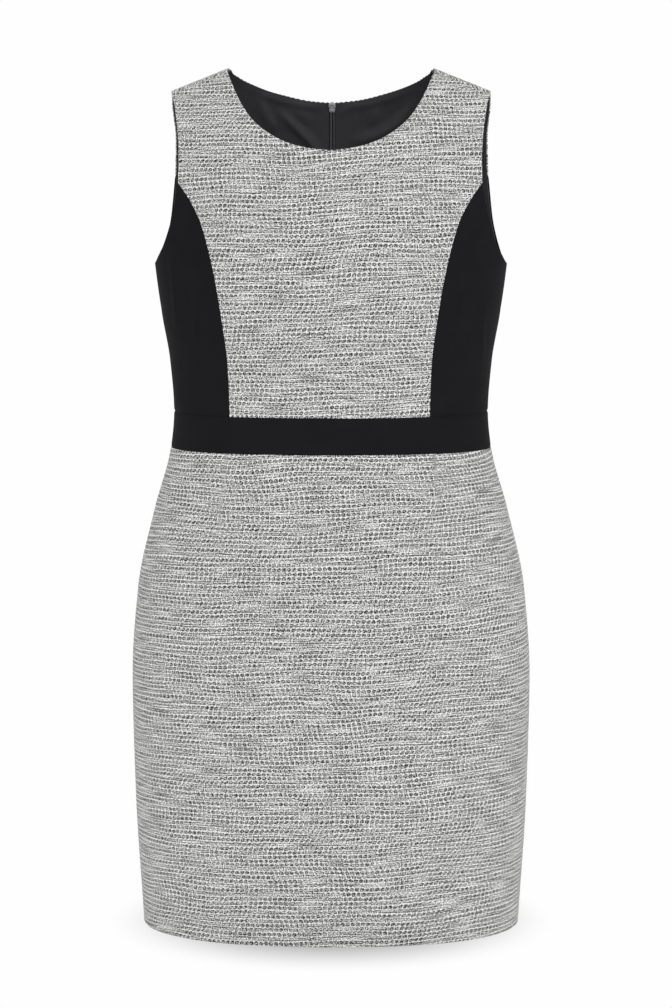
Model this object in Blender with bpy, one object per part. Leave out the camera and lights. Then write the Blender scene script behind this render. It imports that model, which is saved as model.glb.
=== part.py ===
"""Sleeveless sheath dress: grey tweed front and back, black side panels and waistband, back zip.

It keeps the hollow shape that it has when worn. Metres, +Z up: the origin lies midway between
the two shoulder seams, the front faces -Y, and +X is the wearer's left.
"""

import math

import bmesh
import bpy
import numpy as np
from mathutils import Matrix, Vector

# Heights of the level seams, down from the shoulders.
BUST_Z = -0.235
WAISTBAND_TOP_Z = -0.343
WAISTBAND_BOTTOM_Z = -0.3815
HEM_Z = -0.888
ARMPIT_Z = -0.189

# The shoulders slope in a straight line from the neck to their tips.
SHOULDER_CENTRE_Z = 0.0562
SHOULDER_SLOPE = 0.398
SHOULDER_NECK_X = 0.1084
SHOULDER_TIP_X = 0.1660
SHOULDER_SEAM_LEVEL = 0.10  # the seam lies a little in front of the shoulder's top

# Level rings are superellipses with this exponent, a little squarer than an ellipse.
ROUNDNESS = 2.3

# height on the centre line, half width, front depth, back depth
SECTIONS = (
    (SHOULDER_CENTRE_Z, 0.1900, 0.000, 0.000),
    (0.0290, 0.1900, 0.042, 0.048),
    (-0.0180, 0.1900, 0.074, 0.080),
    (-0.0675, 0.1895, 0.093, 0.096),
    (-0.1310, 0.1875, 0.112, 0.104),
    (-0.1730, 0.1843, 0.120, 0.106),
    (BUST_Z, 0.1780, 0.124, 0.104),
    (-0.2900, 0.1690, 0.112, 0.098),
    (WAISTBAND_TOP_Z, 0.1652, 0.102, 0.096),
    (WAISTBAND_BOTTOM_Z, 0.1686, 0.101, 0.098),
    (-0.4450, 0.1856, 0.108, 0.111),
    (-0.5300, 0.2041, 0.116, 0.128),
    (-0.6250, 0.2106, 0.122, 0.134),
    (-0.7500, 0.2079, 0.127, 0.130),
    (HEM_Z, 0.1999, 0.130, 0.122),
)

# distance from the centre line, height
FRONT_NECKLINE = (
    (0.0000, -0.0705),
    (0.0294, -0.0668),
    (0.0547, -0.0577),
    (0.0804, -0.0383),
    (0.0944, -0.0178),
    (0.1025, -0.0012),
)
BACK_NECKLINE = (
    (0.0000, -0.0206),
    (0.0309, -0.0181),
    (0.0646, -0.0098),
    (0.0895, -0.0001),
    (0.0982, 0.0049),
    (0.1060, 0.0108),
)
# The armholes run from the shoulder to the princess seam, and on from there to the armpit.
FRONT_ARMHOLE_TOP = ((0.1605, -0.034), (0.1577, -0.053), (0.1560, -0.080), (0.1564, -0.104))
FRONT_ARMHOLE_BOTTOM = (
    (0.1602, -0.125),
    (0.1655, -0.148),
    (0.1725, -0.168),
    (0.1783, -0.179),
    (0.1823, -0.186),
)
BACK_ARMHOLE_TOP = ((0.1672, -0.025), (0.1650, -0.056), (0.1655, -0.079), (0.1664, -0.097))
BACK_ARMHOLE_BOTTOM = ((0.1690, -0.123), (0.1715, -0.145), (0.1765, -0.168), (0.1820, -0.185))
# The princess seams run from the armholes to the waistband.
FRONT_PRINCESS = (
    (0.1435, -0.122),
    (0.1318, -0.145),
    (0.1228, -0.175),
    (0.1135, -0.220),
    (0.1058, -0.273),
    (0.1029, WAISTBAND_TOP_Z),
)
BACK_PRINCESS = (
    (0.1480, -0.118),
    (0.1330, -0.148),
    (0.1215, -0.185),
    (0.1090, -0.240),
    (0.0990, -0.295),
    (0.0950, WAISTBAND_TOP_Z),
)

# Cloth walls
TWEED_THICKNESS = 0.0020
CREPE_THICKNESS = 0.0015
LINING_THICKNESS = 0.0010
SEAM_GAP = 0.0004
LAYER_GAP = 0.0005  # between the tweed and what lies behind it, or on it
LINING_ROLL = 0.0015  # how far the lining stays back from the neck and armhole edges

# How finely each stretch is cut into facets
NECK_STEPS = 7
SHOULDER_STEPS = 3
PRINCESS_STEPS = 9
ARMHOLE_TOP_STEPS = 5
SIDE_STEPS = 6
BAND_STEPS = 2
SKIRT_COLUMNS = 12
SKIRT_ROWS = 10
CYLINDER_SIDES = 20
TAB_END_STEPS = 8

# Back zip: a slider in a short V at the neck, and a chain below it behind the seam.
NOTCH_HALF_WIDTH = 0.0013
NOTCH_LENGTH = 0.016
LINING_NOTCH_HALF_WIDTH = 0.0058
CHAIN_HALF_WIDTH = 0.0030
CHAIN_THICKNESS = 0.0014
CHAIN_TOP_Z = -0.0322
CHAIN_SKIRT_ROWS = 3  # how many of the skirt's rows of facets it passes
SLIDER_TOP_WIDTH = 0.0082
SLIDER_BOTTOM_WIDTH = 0.0062
SLIDER_LENGTH = 0.0110
SLIDER_THICKNESS = 0.0024
SLIDER_RISE = 0.0012  # from the back neckline to the slider's top, along the cloth
SLIDER_BEHIND = 0.0010  # between the tweed and the slider's flat face
SLIDER_ROUNDING = 0.0006
SLIDER_TAPER_START = 0.0011  # above its middle, where its sides begin to close in
LUG_THICKNESS = 0.0012
LUG_HEIGHT = 0.0032
EYE_DROP = 0.0035  # from the slider's top to the eye that holds the pull
EYE_INNER_RADIUS = 0.00095
EYE_OUTER_RADIUS = 0.0020
EYE_CLEARANCE = 0.0004
PULL_LENGTH = 0.0200
PULL_TOP_WIDTH = 0.0046
PULL_BOTTOM_WIDTH = 0.0062
PULL_THICKNESS = 0.0010
PULL_BAR_RADIUS = 0.0006
PULL_BAR_INSET = 0.0002  # each end of the bar, from the tab's side
PULL_TOP = 0.0004  # the tab's top edge, above the axis
PULL_WINDOW_HALF_WIDTH = 0.0011
PULL_WINDOW_END = 0.0027  # below the axis, clear of the eye

TWEED = ("grey_tweed", "#AEAEAD", 0.92, 0.0)
CREPE = ("black_crepe", "#1F1F21", 0.62, 0.0)
LINING = ("black_lining", "#2A2A2C", 0.45, 0.0)
ZIP_TAPE = ("black_nylon", "#262629", 0.55, 0.0)
ZIP_METAL = ("grey_enamelled_zinc", "#8C8A90", 0.38, 0.9)


def clear_scene():
    for item in list(bpy.data.objects):
        bpy.data.objects.remove(item, do_unlink=True)


def linear(hex_colour):
    """The linear colour of an sRGB hex value, with alpha."""
    shades = [int(hex_colour[i : i + 2], 16) / 255 for i in (1, 3, 5)]
    return [c / 12.92 if c <= 0.04045 else ((c + 0.055) / 1.055) ** 2.4 for c in shades] + [1.0]


def material(finish):
    """The material of a finish, made once."""
    name, colour, roughness, metallic = finish
    if name in bpy.data.materials:
        return bpy.data.materials[name]
    made = bpy.data.materials.new(name)
    made.use_nodes = True
    shader = made.node_tree.nodes["Principled BSDF"]
    shader.inputs["Base Color"].default_value = linear(colour)
    shader.inputs["Roughness"].default_value = roughness
    shader.inputs["Metallic"].default_value = metallic
    return made


def add_object(name, shape, finish):
    """Links a bmesh as an object, smooth but for its sharp edges."""
    bmesh.ops.recalc_face_normals(shape, faces=shape.faces)
    mesh = bpy.data.meshes.new(name)
    shape.to_mesh(mesh)
    shape.free()
    mesh.shade_smooth()
    mesh.set_sharp_from_angle(angle=math.radians(40))
    mesh.materials.append(material(finish))
    made = bpy.data.objects.new(name, mesh)
    bpy.context.scene.collection.objects.link(made)
    return made


# ---- the body of the dress: one smooth surface that every panel lies on ----


def smooth_curve(knots, values):
    """A function that runs smoothly through rows of values and never overshoots them."""
    knots = np.array(knots, float)
    values = np.array(values, float)
    width = np.diff(knots).reshape((-1,) + (1,) * (values.ndim - 1))
    slope = np.diff(values, axis=0) / width
    product = slope[:-1] * slope[1:]
    total = np.where(product > 0, slope[:-1] + slope[1:], 1.0)
    middle = np.where(product > 0, 2 * product / total, 0.0)
    tangent = np.concatenate([slope[:1], middle, slope[-1:]])

    def at(place):
        place = np.asarray(place, float)
        i = np.clip(np.searchsorted(knots, place, side="right") - 1, 0, len(slope) - 1)
        t = (place - knots[i]) / (knots[i + 1] - knots[i])
        t = t.reshape(t.shape + (1,) * (values.ndim - 1))
        rise = width[i] * (t * (1 - t) ** 2 * tangent[i] - t**2 * (1 - t) * tangent[i + 1])
        return values[i] * (1 + 2 * t) * (1 - t) ** 2 + values[i + 1] * t**2 * (3 - 2 * t) + rise

    return at


def level_at(across, height):
    """0 on the shoulders' top, 1 at the bust and 2 at the hem."""
    top = SHOULDER_CENTRE_Z - SHOULDER_SLOPE * np.abs(across)
    upper = np.sqrt(np.clip((top - height) / (top - BUST_Z), 0, None))
    lower = 1 + (BUST_Z - height) / (BUST_Z - HEM_Z)
    return np.where(np.asarray(height) > BUST_Z, upper, lower)


section_rows = np.array(SECTIONS)
section = smooth_curve(level_at(0, section_rows[:, 0]), section_rows[:, 1:])


def surface(angle, level):
    """Points on the outside of the dress.

    angle is 0 at the centre front, 90 degrees at the wearer's left side and 180 at the centre
    back. A level below 0 is the back carried over the shoulder's top towards the front.
    """
    angle, level = np.broadcast_arrays(np.asarray(angle, float), np.asarray(level, float))
    half_width, front, back = np.moveaxis(section(np.abs(level)), -1, 0)
    sine, cosine = np.sin(angle), np.cos(angle)
    power = 2 / ROUNDNESS
    x = half_width * np.sign(sine) * np.abs(sine) ** power
    towards_front = (cosine > 0) == (level >= 0)
    depth = np.where(towards_front, -front, back)
    y = depth * np.abs(cosine) ** power
    top = SHOULDER_CENTRE_Z - SHOULDER_SLOPE * np.abs(x)
    upper = top - level**2 * (top - BUST_Z)
    lower = BUST_Z - (level - 1) * (BUST_Z - HEM_Z)
    return np.stack([x, y, np.where(level < 1, upper, lower)], axis=-1)


def normal(angle, level, step=0.001):
    """Unit vectors out of the surface."""
    along = surface(angle + step, level) - surface(angle - step, level)
    down = surface(angle, level + step) - surface(angle, level - step)
    out = np.cross(down, along)
    return out / np.linalg.norm(out, axis=-1, keepdims=True)


def spot(across, height, back=False):
    """The angle and level of a place that is given by its distance from the centre line."""
    level = level_at(across, height)
    half_width = section(level)[..., 0]
    angle = np.arcsin(np.clip(across / half_width, 0, 1) ** (ROUNDNESS / 2))
    return np.stack([math.pi - angle if back else angle, level], axis=-1)


def spots(rows, back=False):
    return [spot(across, height, back) for across, height in rows]


def running_length(line):
    """The length from a line's start to each of its rows of angle and level."""
    lengths = np.linalg.norm(np.diff(surface(*line.T), axis=0), axis=1)
    return np.concatenate([[0], np.cumsum(lengths)])


def trace(rows, steps, even_levels=False):
    """A smooth line through rows of angle and level, cut into even lengths or even levels."""
    rows = np.array(rows)
    reach = running_length(rows)
    line = smooth_curve(reach, rows)(np.linspace(0, reach[-1], 40 * steps))
    run = np.abs(line[:, 1] - line[0, 1]) if even_levels else running_length(line)
    even = np.linspace(0, run[-1], steps + 1)
    return np.stack([np.interp(even, run, line[:, 0]), np.interp(even, run, line[:, 1])], axis=-1)


def level_line(start_angle, end_angle, height, steps):
    """A level seam between two angles."""
    angles = np.linspace(start_angle, end_angle, steps + 1)
    return np.stack([angles, np.full(steps + 1, float(level_at(0, height)))], axis=-1)


def patch(bottom, top, inner, outer):
    """Fills four border lines of angle and level: rows run from bottom to top."""
    s = np.linspace(0, 1, len(bottom))[None, :, None]
    t = np.linspace(0, 1, len(inner))[:, None, None]
    across = (1 - s) * inner[:, None] + s * outer[:, None]
    upright = (1 - t) * bottom[None] + t * top[None]
    corners = (1 - t) * ((1 - s) * bottom[0] + s * bottom[-1]) + t * ((1 - s) * top[0] + s * top[-1])
    return across + upright - corners


def mirrored(grid):
    """The same patch on the wearer's other side."""
    return grid[:, ::-1] * (-1, 1)


# ---- cloth walls ----


def draw_in(points, margins):
    """Moves a grid's four borders inwards along the cloth: bottom, top, first and last column."""
    edges = (
        ((0, slice(None)), (1, slice(None))),
        ((-1, slice(None)), (-2, slice(None))),
        ((slice(None), 0), (slice(None), 1)),
        ((slice(None), -1), (slice(None), -2)),
    )
    shift = np.zeros_like(points)
    for (border, beside), margin in zip(edges, margins):
        line = points[border]
        along = np.gradient(line, axis=0)
        along /= np.linalg.norm(along, axis=-1, keepdims=True)
        inwards = points[beside] - line
        inwards -= along * np.sum(inwards * along, axis=-1, keepdims=True)
        inwards /= np.linalg.norm(inwards, axis=-1, keepdims=True)
        shift[border] += inwards * np.reshape(margin, (-1, 1))
    return points + shift


def wall(grid, thickness, margins=(SEAM_GAP / 2,) * 4, depth=0.0):
    """A closed wall of cloth on a grid of angle and level, its outside depth below the surface."""
    rows, columns = grid.shape[:2]
    smooth = surface(grid[..., 0], grid[..., 1])
    out = normal(grid[..., 0], grid[..., 1])
    outside = draw_in(smooth, margins) - out * depth
    inside = outside - out * thickness
    rising = np.linalg.norm(smooth[1:, 1:] - smooth[:-1, :-1], axis=-1)
    falling = np.linalg.norm(smooth[1:, :-1] - smooth[:-1, 1:], axis=-1)
    shape = bmesh.new()
    skins = [
        [[shape.verts.new(point) for point in row] for row in side] for side in (outside, inside)
    ]
    for skin in skins:
        for r in range(rows - 1):
            for c in range(columns - 1):
                corners = [skin[r][c], skin[r][c + 1], skin[r + 1][c + 1], skin[r + 1][c]]
                if rising[r, c] > falling[r, c]:
                    corners = corners[1:] + corners[:1]
                shape.faces.new((corners[0], corners[1], corners[2]))
                shape.faces.new((corners[0], corners[2], corners[3]))
    rim = [(0, c) for c in range(columns)]
    rim += [(r, columns - 1) for r in range(1, rows)]
    rim += [(rows - 1, c) for c in range(columns - 2, -1, -1)]
    rim += [(r, 0) for r in range(rows - 2, 0, -1)]
    for (r0, c0), (r1, c1) in zip(rim, rim[1:] + rim[:1]):
        shape.faces.new((skins[0][r0][c0], skins[0][r1][c1], skins[1][r1][c1], skins[1][r0][c0]))
    return shape


def add_wall(name, grid, finish, thickness, **how):
    add_object(name, wall(grid, thickness, **how), finish)


def add_pair(name, grid, finish, thickness, margins=(SEAM_GAP / 2,) * 4, depth=0.0):
    """A wall on the wearer's left and its mirror image on the right."""
    bottom, top, inner, outer = margins
    add_wall(name + "_left", grid, finish, thickness, margins=margins, depth=depth)
    other = (bottom, np.atleast_1d(top)[::-1], outer, inner)
    add_wall(name + "_right", mirrored(grid), finish, thickness, margins=other, depth=depth)


# ---- the seams, as lines of angle and level on the wearer's left ----

CENTRE_FRONT = 0.0
SIDE = math.pi / 2
CENTRE_BACK = math.pi

armpit_half_width = float(section(level_at(0, ARMPIT_Z))[0])
armpit = np.array([SIDE, float(level_at(armpit_half_width, ARMPIT_Z))])


def shoulder_spot(across, back):
    angle = spot(across, SHOULDER_CENTRE_Z - SHOULDER_SLOPE * across, back)[0]
    return np.array([angle, -SHOULDER_SEAM_LEVEL if back else SHOULDER_SEAM_LEVEL])


def seams(back):
    """The lines round the panels of the front or the back, each from the centre or from below."""
    neck_rows = BACK_NECKLINE if back else FRONT_NECKLINE
    arm_top_rows = BACK_ARMHOLE_TOP if back else FRONT_ARMHOLE_TOP
    arm_bottom_rows = BACK_ARMHOLE_BOTTOM if back else FRONT_ARMHOLE_BOTTOM
    princess_rows = BACK_PRINCESS if back else FRONT_PRINCESS
    centre = CENTRE_BACK if back else CENTRE_FRONT
    neck_point = shoulder_spot(SHOULDER_NECK_X, back)
    tip = shoulder_spot(SHOULDER_TIP_X, back)
    arm_top = spots(arm_top_rows, back)
    arm_bottom = spots(arm_bottom_rows, back)
    princess = spots(princess_rows, back)
    lines = {
        "neck": trace(spots(neck_rows, back) + [neck_point], NECK_STEPS),
        "shoulder": trace([neck_point, tip], SHOULDER_STEPS),
        "arm_top": trace([tip] + arm_top, ARMHOLE_TOP_STEPS, even_levels=True)[::-1],
        "arm_bottom": trace([arm_top[-1]] + arm_bottom + [armpit], SIDE_STEPS),
        "princess": trace([arm_top[-1]] + princess, PRINCESS_STEPS)[::-1],
    }
    neck_spot = lines["neck"][0]
    waist_spot = lines["princess"][0]
    panel_rows = PRINCESS_STEPS + ARMHOLE_TOP_STEPS
    lines["centre"] = trace([(centre, waist_spot[1]), neck_spot], panel_rows)
    lines["side"] = trace([(SIDE, waist_spot[1]), armpit], PRINCESS_STEPS)
    return lines, waist_spot[0]


def bodice_grid(lines, centre, waist_angle):
    """The tweed panel between the centre line and the princess seam."""
    steps = NECK_STEPS + SHOULDER_STEPS
    bottom = level_line(centre, waist_angle, WAISTBAND_TOP_Z, steps)
    top = np.concatenate([lines["neck"], lines["shoulder"][1:]])
    outer = np.concatenate([lines["princess"], lines["arm_top"][1:]])
    return patch(bottom, top, lines["centre"], outer)


def side_grid(lines, waist_angle):
    """The black panel between the princess seam and the side seam."""
    bottom = level_line(waist_angle, SIDE, WAISTBAND_TOP_Z, SIDE_STEPS)
    return patch(bottom, lines["arm_bottom"], lines["princess"], lines["side"])


def seam_levels(top, bottom, rows):
    """Even levels from the lower of two level seams up to the higher."""
    return np.linspace(float(level_at(0, bottom)), float(level_at(0, top)), rows + 1)


def band_grid(start_angle, end_angle, top, bottom, columns, rows):
    """A piece between two level seams."""
    levels = seam_levels(top, bottom, rows)
    angles = np.linspace(start_angle, end_angle, columns + 1)
    return np.stack(np.meshgrid(angles, levels), axis=-1)


def both_halves(grid):
    """Joins a half at the centre front to its mirror image."""
    return np.concatenate([mirrored(grid)[:, :-1], grid], axis=1)


# ---- front ----


def add_front():
    lines, waist_angle = seams(back=False)
    bodice = both_halves(bodice_grid(lines, CENTRE_FRONT, waist_angle))
    add_wall("front_bodice", bodice, TWEED, TWEED_THICKNESS)
    add_pair("front_side", side_grid(lines, waist_angle), CREPE, CREPE_THICKNESS)
    band_columns = 2 * (NECK_STEPS + SHOULDER_STEPS)
    band = band_grid(-SIDE, SIDE, WAISTBAND_TOP_Z, WAISTBAND_BOTTOM_Z, band_columns, BAND_STEPS)
    add_wall("front_waistband", band, CREPE, CREPE_THICKNESS)
    skirt = band_grid(-SIDE, SIDE, WAISTBAND_BOTTOM_Z, HEM_Z, 2 * SKIRT_COLUMNS, SKIRT_ROWS)
    add_wall("front_skirt", skirt, TWEED, TWEED_THICKNESS)


# ---- back ----


def notch(heights, top_half_width, end_half_width):
    """Half the width of the opening that the zip lies in, wide at the neck and narrow below it."""
    neck_height = BACK_NECKLINE[0][1]
    fall = np.clip((neck_height - heights) / NOTCH_LENGTH, 0, 1)
    return top_half_width + (end_half_width - top_half_width) * fall


def add_back():
    lines, waist_angle = seams(back=True)
    seam = SEAM_GAP / 2
    centre_heights = surface(*lines["centre"].T)[:, 2]
    bodice = bodice_grid(lines, CENTRE_BACK, waist_angle)
    zip_edge = notch(centre_heights, NOTCH_HALF_WIDTH, seam)
    add_pair("back_bodice", bodice, TWEED, TWEED_THICKNESS, margins=(seam, seam, zip_edge, seam))
    side = side_grid(lines, waist_angle)
    add_pair("back_side", side, CREPE, CREPE_THICKNESS)
    band_columns = NECK_STEPS + SHOULDER_STEPS
    band = band_grid(CENTRE_BACK, SIDE, WAISTBAND_TOP_Z, WAISTBAND_BOTTOM_Z, band_columns, BAND_STEPS)
    add_pair("back_waistband", band, CREPE, CREPE_THICKNESS)
    skirt = band_grid(CENTRE_BACK, SIDE, WAISTBAND_BOTTOM_Z, HEM_Z, SKIRT_COLUMNS, SKIRT_ROWS)
    add_pair("back_skirt", skirt, TWEED, TWEED_THICKNESS)
    lining_edge = notch(centre_heights, LINING_NOTCH_HALF_WIDTH, CHAIN_HALF_WIDTH + LAYER_GAP)
    behind_tweed = TWEED_THICKNESS + LAYER_GAP
    on_armhole = np.arange(len(centre_heights)) > PRINCESS_STEPS
    lining_arm_edge = np.where(on_armhole, LINING_ROLL, seam)
    lining_margins = (seam, LINING_ROLL, lining_edge, lining_arm_edge)
    add_pair("lining_back", bodice, LINING, LINING_THICKNESS, lining_margins, behind_tweed)
    side_arm_edge = np.where(np.arange(SIDE_STEPS + 1) > 0, LINING_ROLL, seam)
    side_margins = (seam, side_arm_edge, seam, seam)
    add_pair("lining_back_side", side, LINING, LINING_THICKNESS, side_margins, behind_tweed)


# ---- zip ----


def centre_back_frame(height):
    """A matrix at the centre back: X across, Y out of the cloth and Z up along it."""
    place = spot(0.0, height, back=True)
    out = Vector(normal(*place))
    across = Vector((1, 0, 0))
    up = across.cross(out)
    turn = Matrix((across, out, up)).transposed().to_4x4()
    return Matrix.Translation(Vector(surface(*place))) @ turn


def extruded(outline, low, high, axis):
    """A solid with a flat outline in the plane across an axis, from low to high along it."""
    shape = bmesh.new()
    rings = []
    for place in (low, high):
        ring = []
        for first, second in outline:
            point = [first, second]
            point.insert(axis, place)
            ring.append(shape.verts.new(point))
        rings.append(ring)
    for ring in rings:
        shape.faces.new(ring)
    for i, vert in enumerate(rings[0]):
        j = (i + 1) % len(outline)
        shape.faces.new((vert, rings[0][j], rings[1][j], rings[1][i]))
    bmesh.ops.recalc_face_normals(shape, faces=shape.faces)
    return shape


def cylinder(radius, length):
    """A closed cylinder along X round the origin."""
    turns = [2 * math.pi * i / CYLINDER_SIDES for i in range(CYLINDER_SIDES)]
    outline = [(radius * math.cos(turn), radius * math.sin(turn)) for turn in turns]
    return extruded(outline, -length / 2, length / 2, axis=0)


def boolean(target, tool, operation):
    """Adds or cuts a hidden helper with an exact Boolean."""
    tool.hide_render = True
    tool.display_type = "WIRE"
    step = target.modifiers.new(operation.lower(), "BOOLEAN")
    step.operation = operation
    step.object = tool


def chain_levels():
    """The chain bends where the panels outside it do, so that it lies close along all of them."""
    lines, _ = seams(back=True)
    bodice = lines["centre"][:, 1]
    band = seam_levels(WAISTBAND_TOP_Z, WAISTBAND_BOTTOM_Z, BAND_STEPS)
    skirt = seam_levels(WAISTBAND_BOTTOM_Z, HEM_Z, SKIRT_ROWS)[-CHAIN_SKIRT_ROWS - 1 :]
    top = float(level_at(0, CHAIN_TOP_Z))
    below_slider = bodice[bodice > top]
    return np.unique(np.concatenate([[top], below_slider, band, skirt]).round(6))[::-1]


def add_chain():
    """The closed teeth and tape edges, a narrow strip behind the centre back seam."""
    levels = chain_levels()
    heights = surface(np.full_like(levels, CENTRE_BACK), levels)[:, 2]
    edge = np.array([spot(CHAIN_HALF_WIDTH, height, back=True) for height in heights])
    middle = np.stack([np.full_like(levels, CENTRE_BACK), levels], axis=-1)
    other = np.stack([2 * math.pi - edge[:, 0], edge[:, 1]], axis=-1)
    grid = np.stack([edge, middle, other], axis=1)
    depth = TWEED_THICKNESS + LAYER_GAP
    add_wall("zip_chain", grid, ZIP_TAPE, CHAIN_THICKNESS, margins=(0, 0, 0, 0), depth=depth)


def eye_place(slider_frame):
    """The eye's centre, out of the cloth by its own radius and a clearance."""
    rise = SLIDER_LENGTH / 2 - EYE_DROP
    return slider_frame @ Vector((0, EYE_OUTER_RADIUS + EYE_CLEARANCE, rise))


def add_slider(slider_frame):
    """The slider's body behind the seam, and the lug through the seam with the pull's eye."""
    half_length = SLIDER_LENGTH / 2
    outline = [
        (-SLIDER_TOP_WIDTH / 2, half_length),
        (-SLIDER_TOP_WIDTH / 2, SLIDER_TAPER_START),
        (-SLIDER_BOTTOM_WIDTH / 2, -half_length),
        (SLIDER_BOTTOM_WIDTH / 2, -half_length),
        (SLIDER_TOP_WIDTH / 2, SLIDER_TAPER_START),
        (SLIDER_TOP_WIDTH / 2, half_length),
    ]
    face = -(TWEED_THICKNESS + SLIDER_BEHIND)
    shape = extruded(outline, face - SLIDER_THICKNESS, face, axis=1)
    bmesh.ops.bevel(
        shape, geom=list(shape.edges), offset=SLIDER_ROUNDING, segments=2, profile=0.5, affect="EDGES"
    )
    slider = add_object("zip_slider", shape, ZIP_METAL)
    slider.matrix_world = slider_frame

    eye_local = slider_frame.inverted() @ eye_place(slider_frame)
    eye = add_object("cut_eye_ring", cylinder(EYE_OUTER_RADIUS, LUG_THICKNESS), ZIP_METAL)
    eye.matrix_world = slider_frame @ Matrix.Translation(eye_local)
    neck_outline = [
        (face - SLIDER_THICKNESS / 2, eye_local.z - LUG_HEIGHT / 2),
        (eye_local.y, eye_local.z - LUG_HEIGHT / 2),
        (eye_local.y, eye_local.z + LUG_HEIGHT / 2),
        (face - SLIDER_THICKNESS / 2, eye_local.z + LUG_HEIGHT / 2),
    ]
    neck = add_object(
        "cut_lug", extruded(neck_outline, -LUG_THICKNESS / 2, LUG_THICKNESS / 2, axis=0), ZIP_METAL
    )
    neck.matrix_world = slider_frame
    hole = add_object("cut_eye_hole", cylinder(EYE_INNER_RADIUS, 4 * LUG_THICKNESS), ZIP_METAL)
    hole.matrix_world = eye.matrix_world
    boolean(slider, eye, "UNION")
    boolean(slider, neck, "UNION")
    boolean(slider, hole, "DIFFERENCE")


def pull_frame(axis_point):
    """A matrix on the joint's axis, with Z up along the pull, which leans on the cloth below."""
    stand_off = LAYER_GAP + PULL_THICKNESS / 2
    height = axis_point.z - PULL_LENGTH
    place = spot(0.0, height, back=True)
    foot = Vector(surface(*place)) + Vector(normal(*place)) * stand_off
    up = (axis_point - foot).normalized()
    across = Vector((1, 0, 0))
    out = up.cross(across)
    turn = Matrix((across, out, up)).transposed().to_4x4()
    return Matrix.Translation(axis_point) @ turn


def add_pull(axis_point):
    """The pull: a drop-shaped tab with a window for the eye and a round bar through it."""
    outline = [
        (-PULL_TOP_WIDTH / 2, PULL_TOP),
        (-PULL_TOP_WIDTH / 2, -PULL_WINDOW_END),
        (-PULL_BOTTOM_WIDTH / 2, -PULL_LENGTH + PULL_BOTTOM_WIDTH / 2),
    ]
    for i in range(1, TAB_END_STEPS):
        turn = math.pi * i / TAB_END_STEPS
        side = -PULL_BOTTOM_WIDTH / 2 * math.cos(turn)
        drop = -PULL_LENGTH + PULL_BOTTOM_WIDTH / 2 * (1 - math.sin(turn))
        outline.append((side, drop))
    outline += [(-side, drop) for side, drop in outline[2::-1]]
    half = PULL_THICKNESS / 2
    pull = add_object("zip_pull", extruded(outline, -half, half, axis=1), ZIP_METAL)
    pull.matrix_world = pull_frame(axis_point)

    window_outline = [
        (-PULL_WINDOW_HALF_WIDTH, 2 * PULL_TOP),
        (-PULL_WINDOW_HALF_WIDTH, -PULL_WINDOW_END),
        (PULL_WINDOW_HALF_WIDTH, -PULL_WINDOW_END),
        (PULL_WINDOW_HALF_WIDTH, 2 * PULL_TOP),
    ]
    window = add_object(
        "cut_pull_window",
        extruded(window_outline, -2 * PULL_THICKNESS, 2 * PULL_THICKNESS, axis=1),
        ZIP_METAL,
    )
    window.matrix_world = pull.matrix_world
    bar_length = PULL_TOP_WIDTH - 2 * PULL_BAR_INSET
    bar = add_object("cut_pull_bar", cylinder(PULL_BAR_RADIUS, bar_length), ZIP_METAL)
    bar.matrix_world = pull.matrix_world
    boolean(pull, window, "DIFFERENCE")
    boolean(pull, bar, "UNION")


def add_zip():
    add_chain()
    slider_middle = BACK_NECKLINE[0][1] + SLIDER_RISE - SLIDER_LENGTH / 2
    slider_frame = centre_back_frame(slider_middle)
    add_slider(slider_frame)
    add_pull(eye_place(slider_frame))


clear_scene()
add_front()
add_back()
add_zip()
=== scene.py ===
"""Looks of a sleeveless sheath dress: grey boucle tweed, black crepe side panels and waistband, back zip.

Metres, +Z up, the front faces -Y and +X is the wearer's left. The sections follow the dress as it
is sewn: front, back, lining, hem, zip, and then the studio.
"""

import math

import bmesh
import bpy
import numpy as np
from mathutils import Matrix, Vector


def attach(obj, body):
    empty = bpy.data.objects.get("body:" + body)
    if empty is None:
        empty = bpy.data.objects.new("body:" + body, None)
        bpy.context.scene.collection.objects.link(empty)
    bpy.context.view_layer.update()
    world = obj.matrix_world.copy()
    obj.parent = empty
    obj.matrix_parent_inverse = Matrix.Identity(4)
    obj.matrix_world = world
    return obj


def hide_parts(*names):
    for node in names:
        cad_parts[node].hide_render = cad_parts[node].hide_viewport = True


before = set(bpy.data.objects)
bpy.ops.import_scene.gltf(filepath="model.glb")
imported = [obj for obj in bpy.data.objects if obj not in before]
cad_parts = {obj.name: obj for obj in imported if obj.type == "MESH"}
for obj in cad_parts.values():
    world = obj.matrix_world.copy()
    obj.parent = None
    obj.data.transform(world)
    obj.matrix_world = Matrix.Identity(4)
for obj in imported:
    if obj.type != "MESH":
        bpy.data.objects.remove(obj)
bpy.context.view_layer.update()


# ---- front bodice ----
# The tweed panel between the two princess seams, cut in one piece from neck to waistband.
# A loosely woven cotton and acetate boucle, seamed to its neighbours and turned in at neck and arms.

BUST_Z = -0.235
WAISTBAND_TOP_Z = -0.343
HEM_Z = -0.888
ARMPIT_Z = -0.189
SHOULDER_CENTRE_Z = 0.0562
SHOULDER_SLOPE = 0.398
SHOULDER_NECK_X = 0.1084
SHOULDER_TIP_X = 0.1660
SHOULDER_SEAM_LEVEL = 0.10  # the seam lies a little in front of the shoulder's top
ROUNDNESS = 2.3  # exponent of the superellipse that each level ring follows

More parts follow.
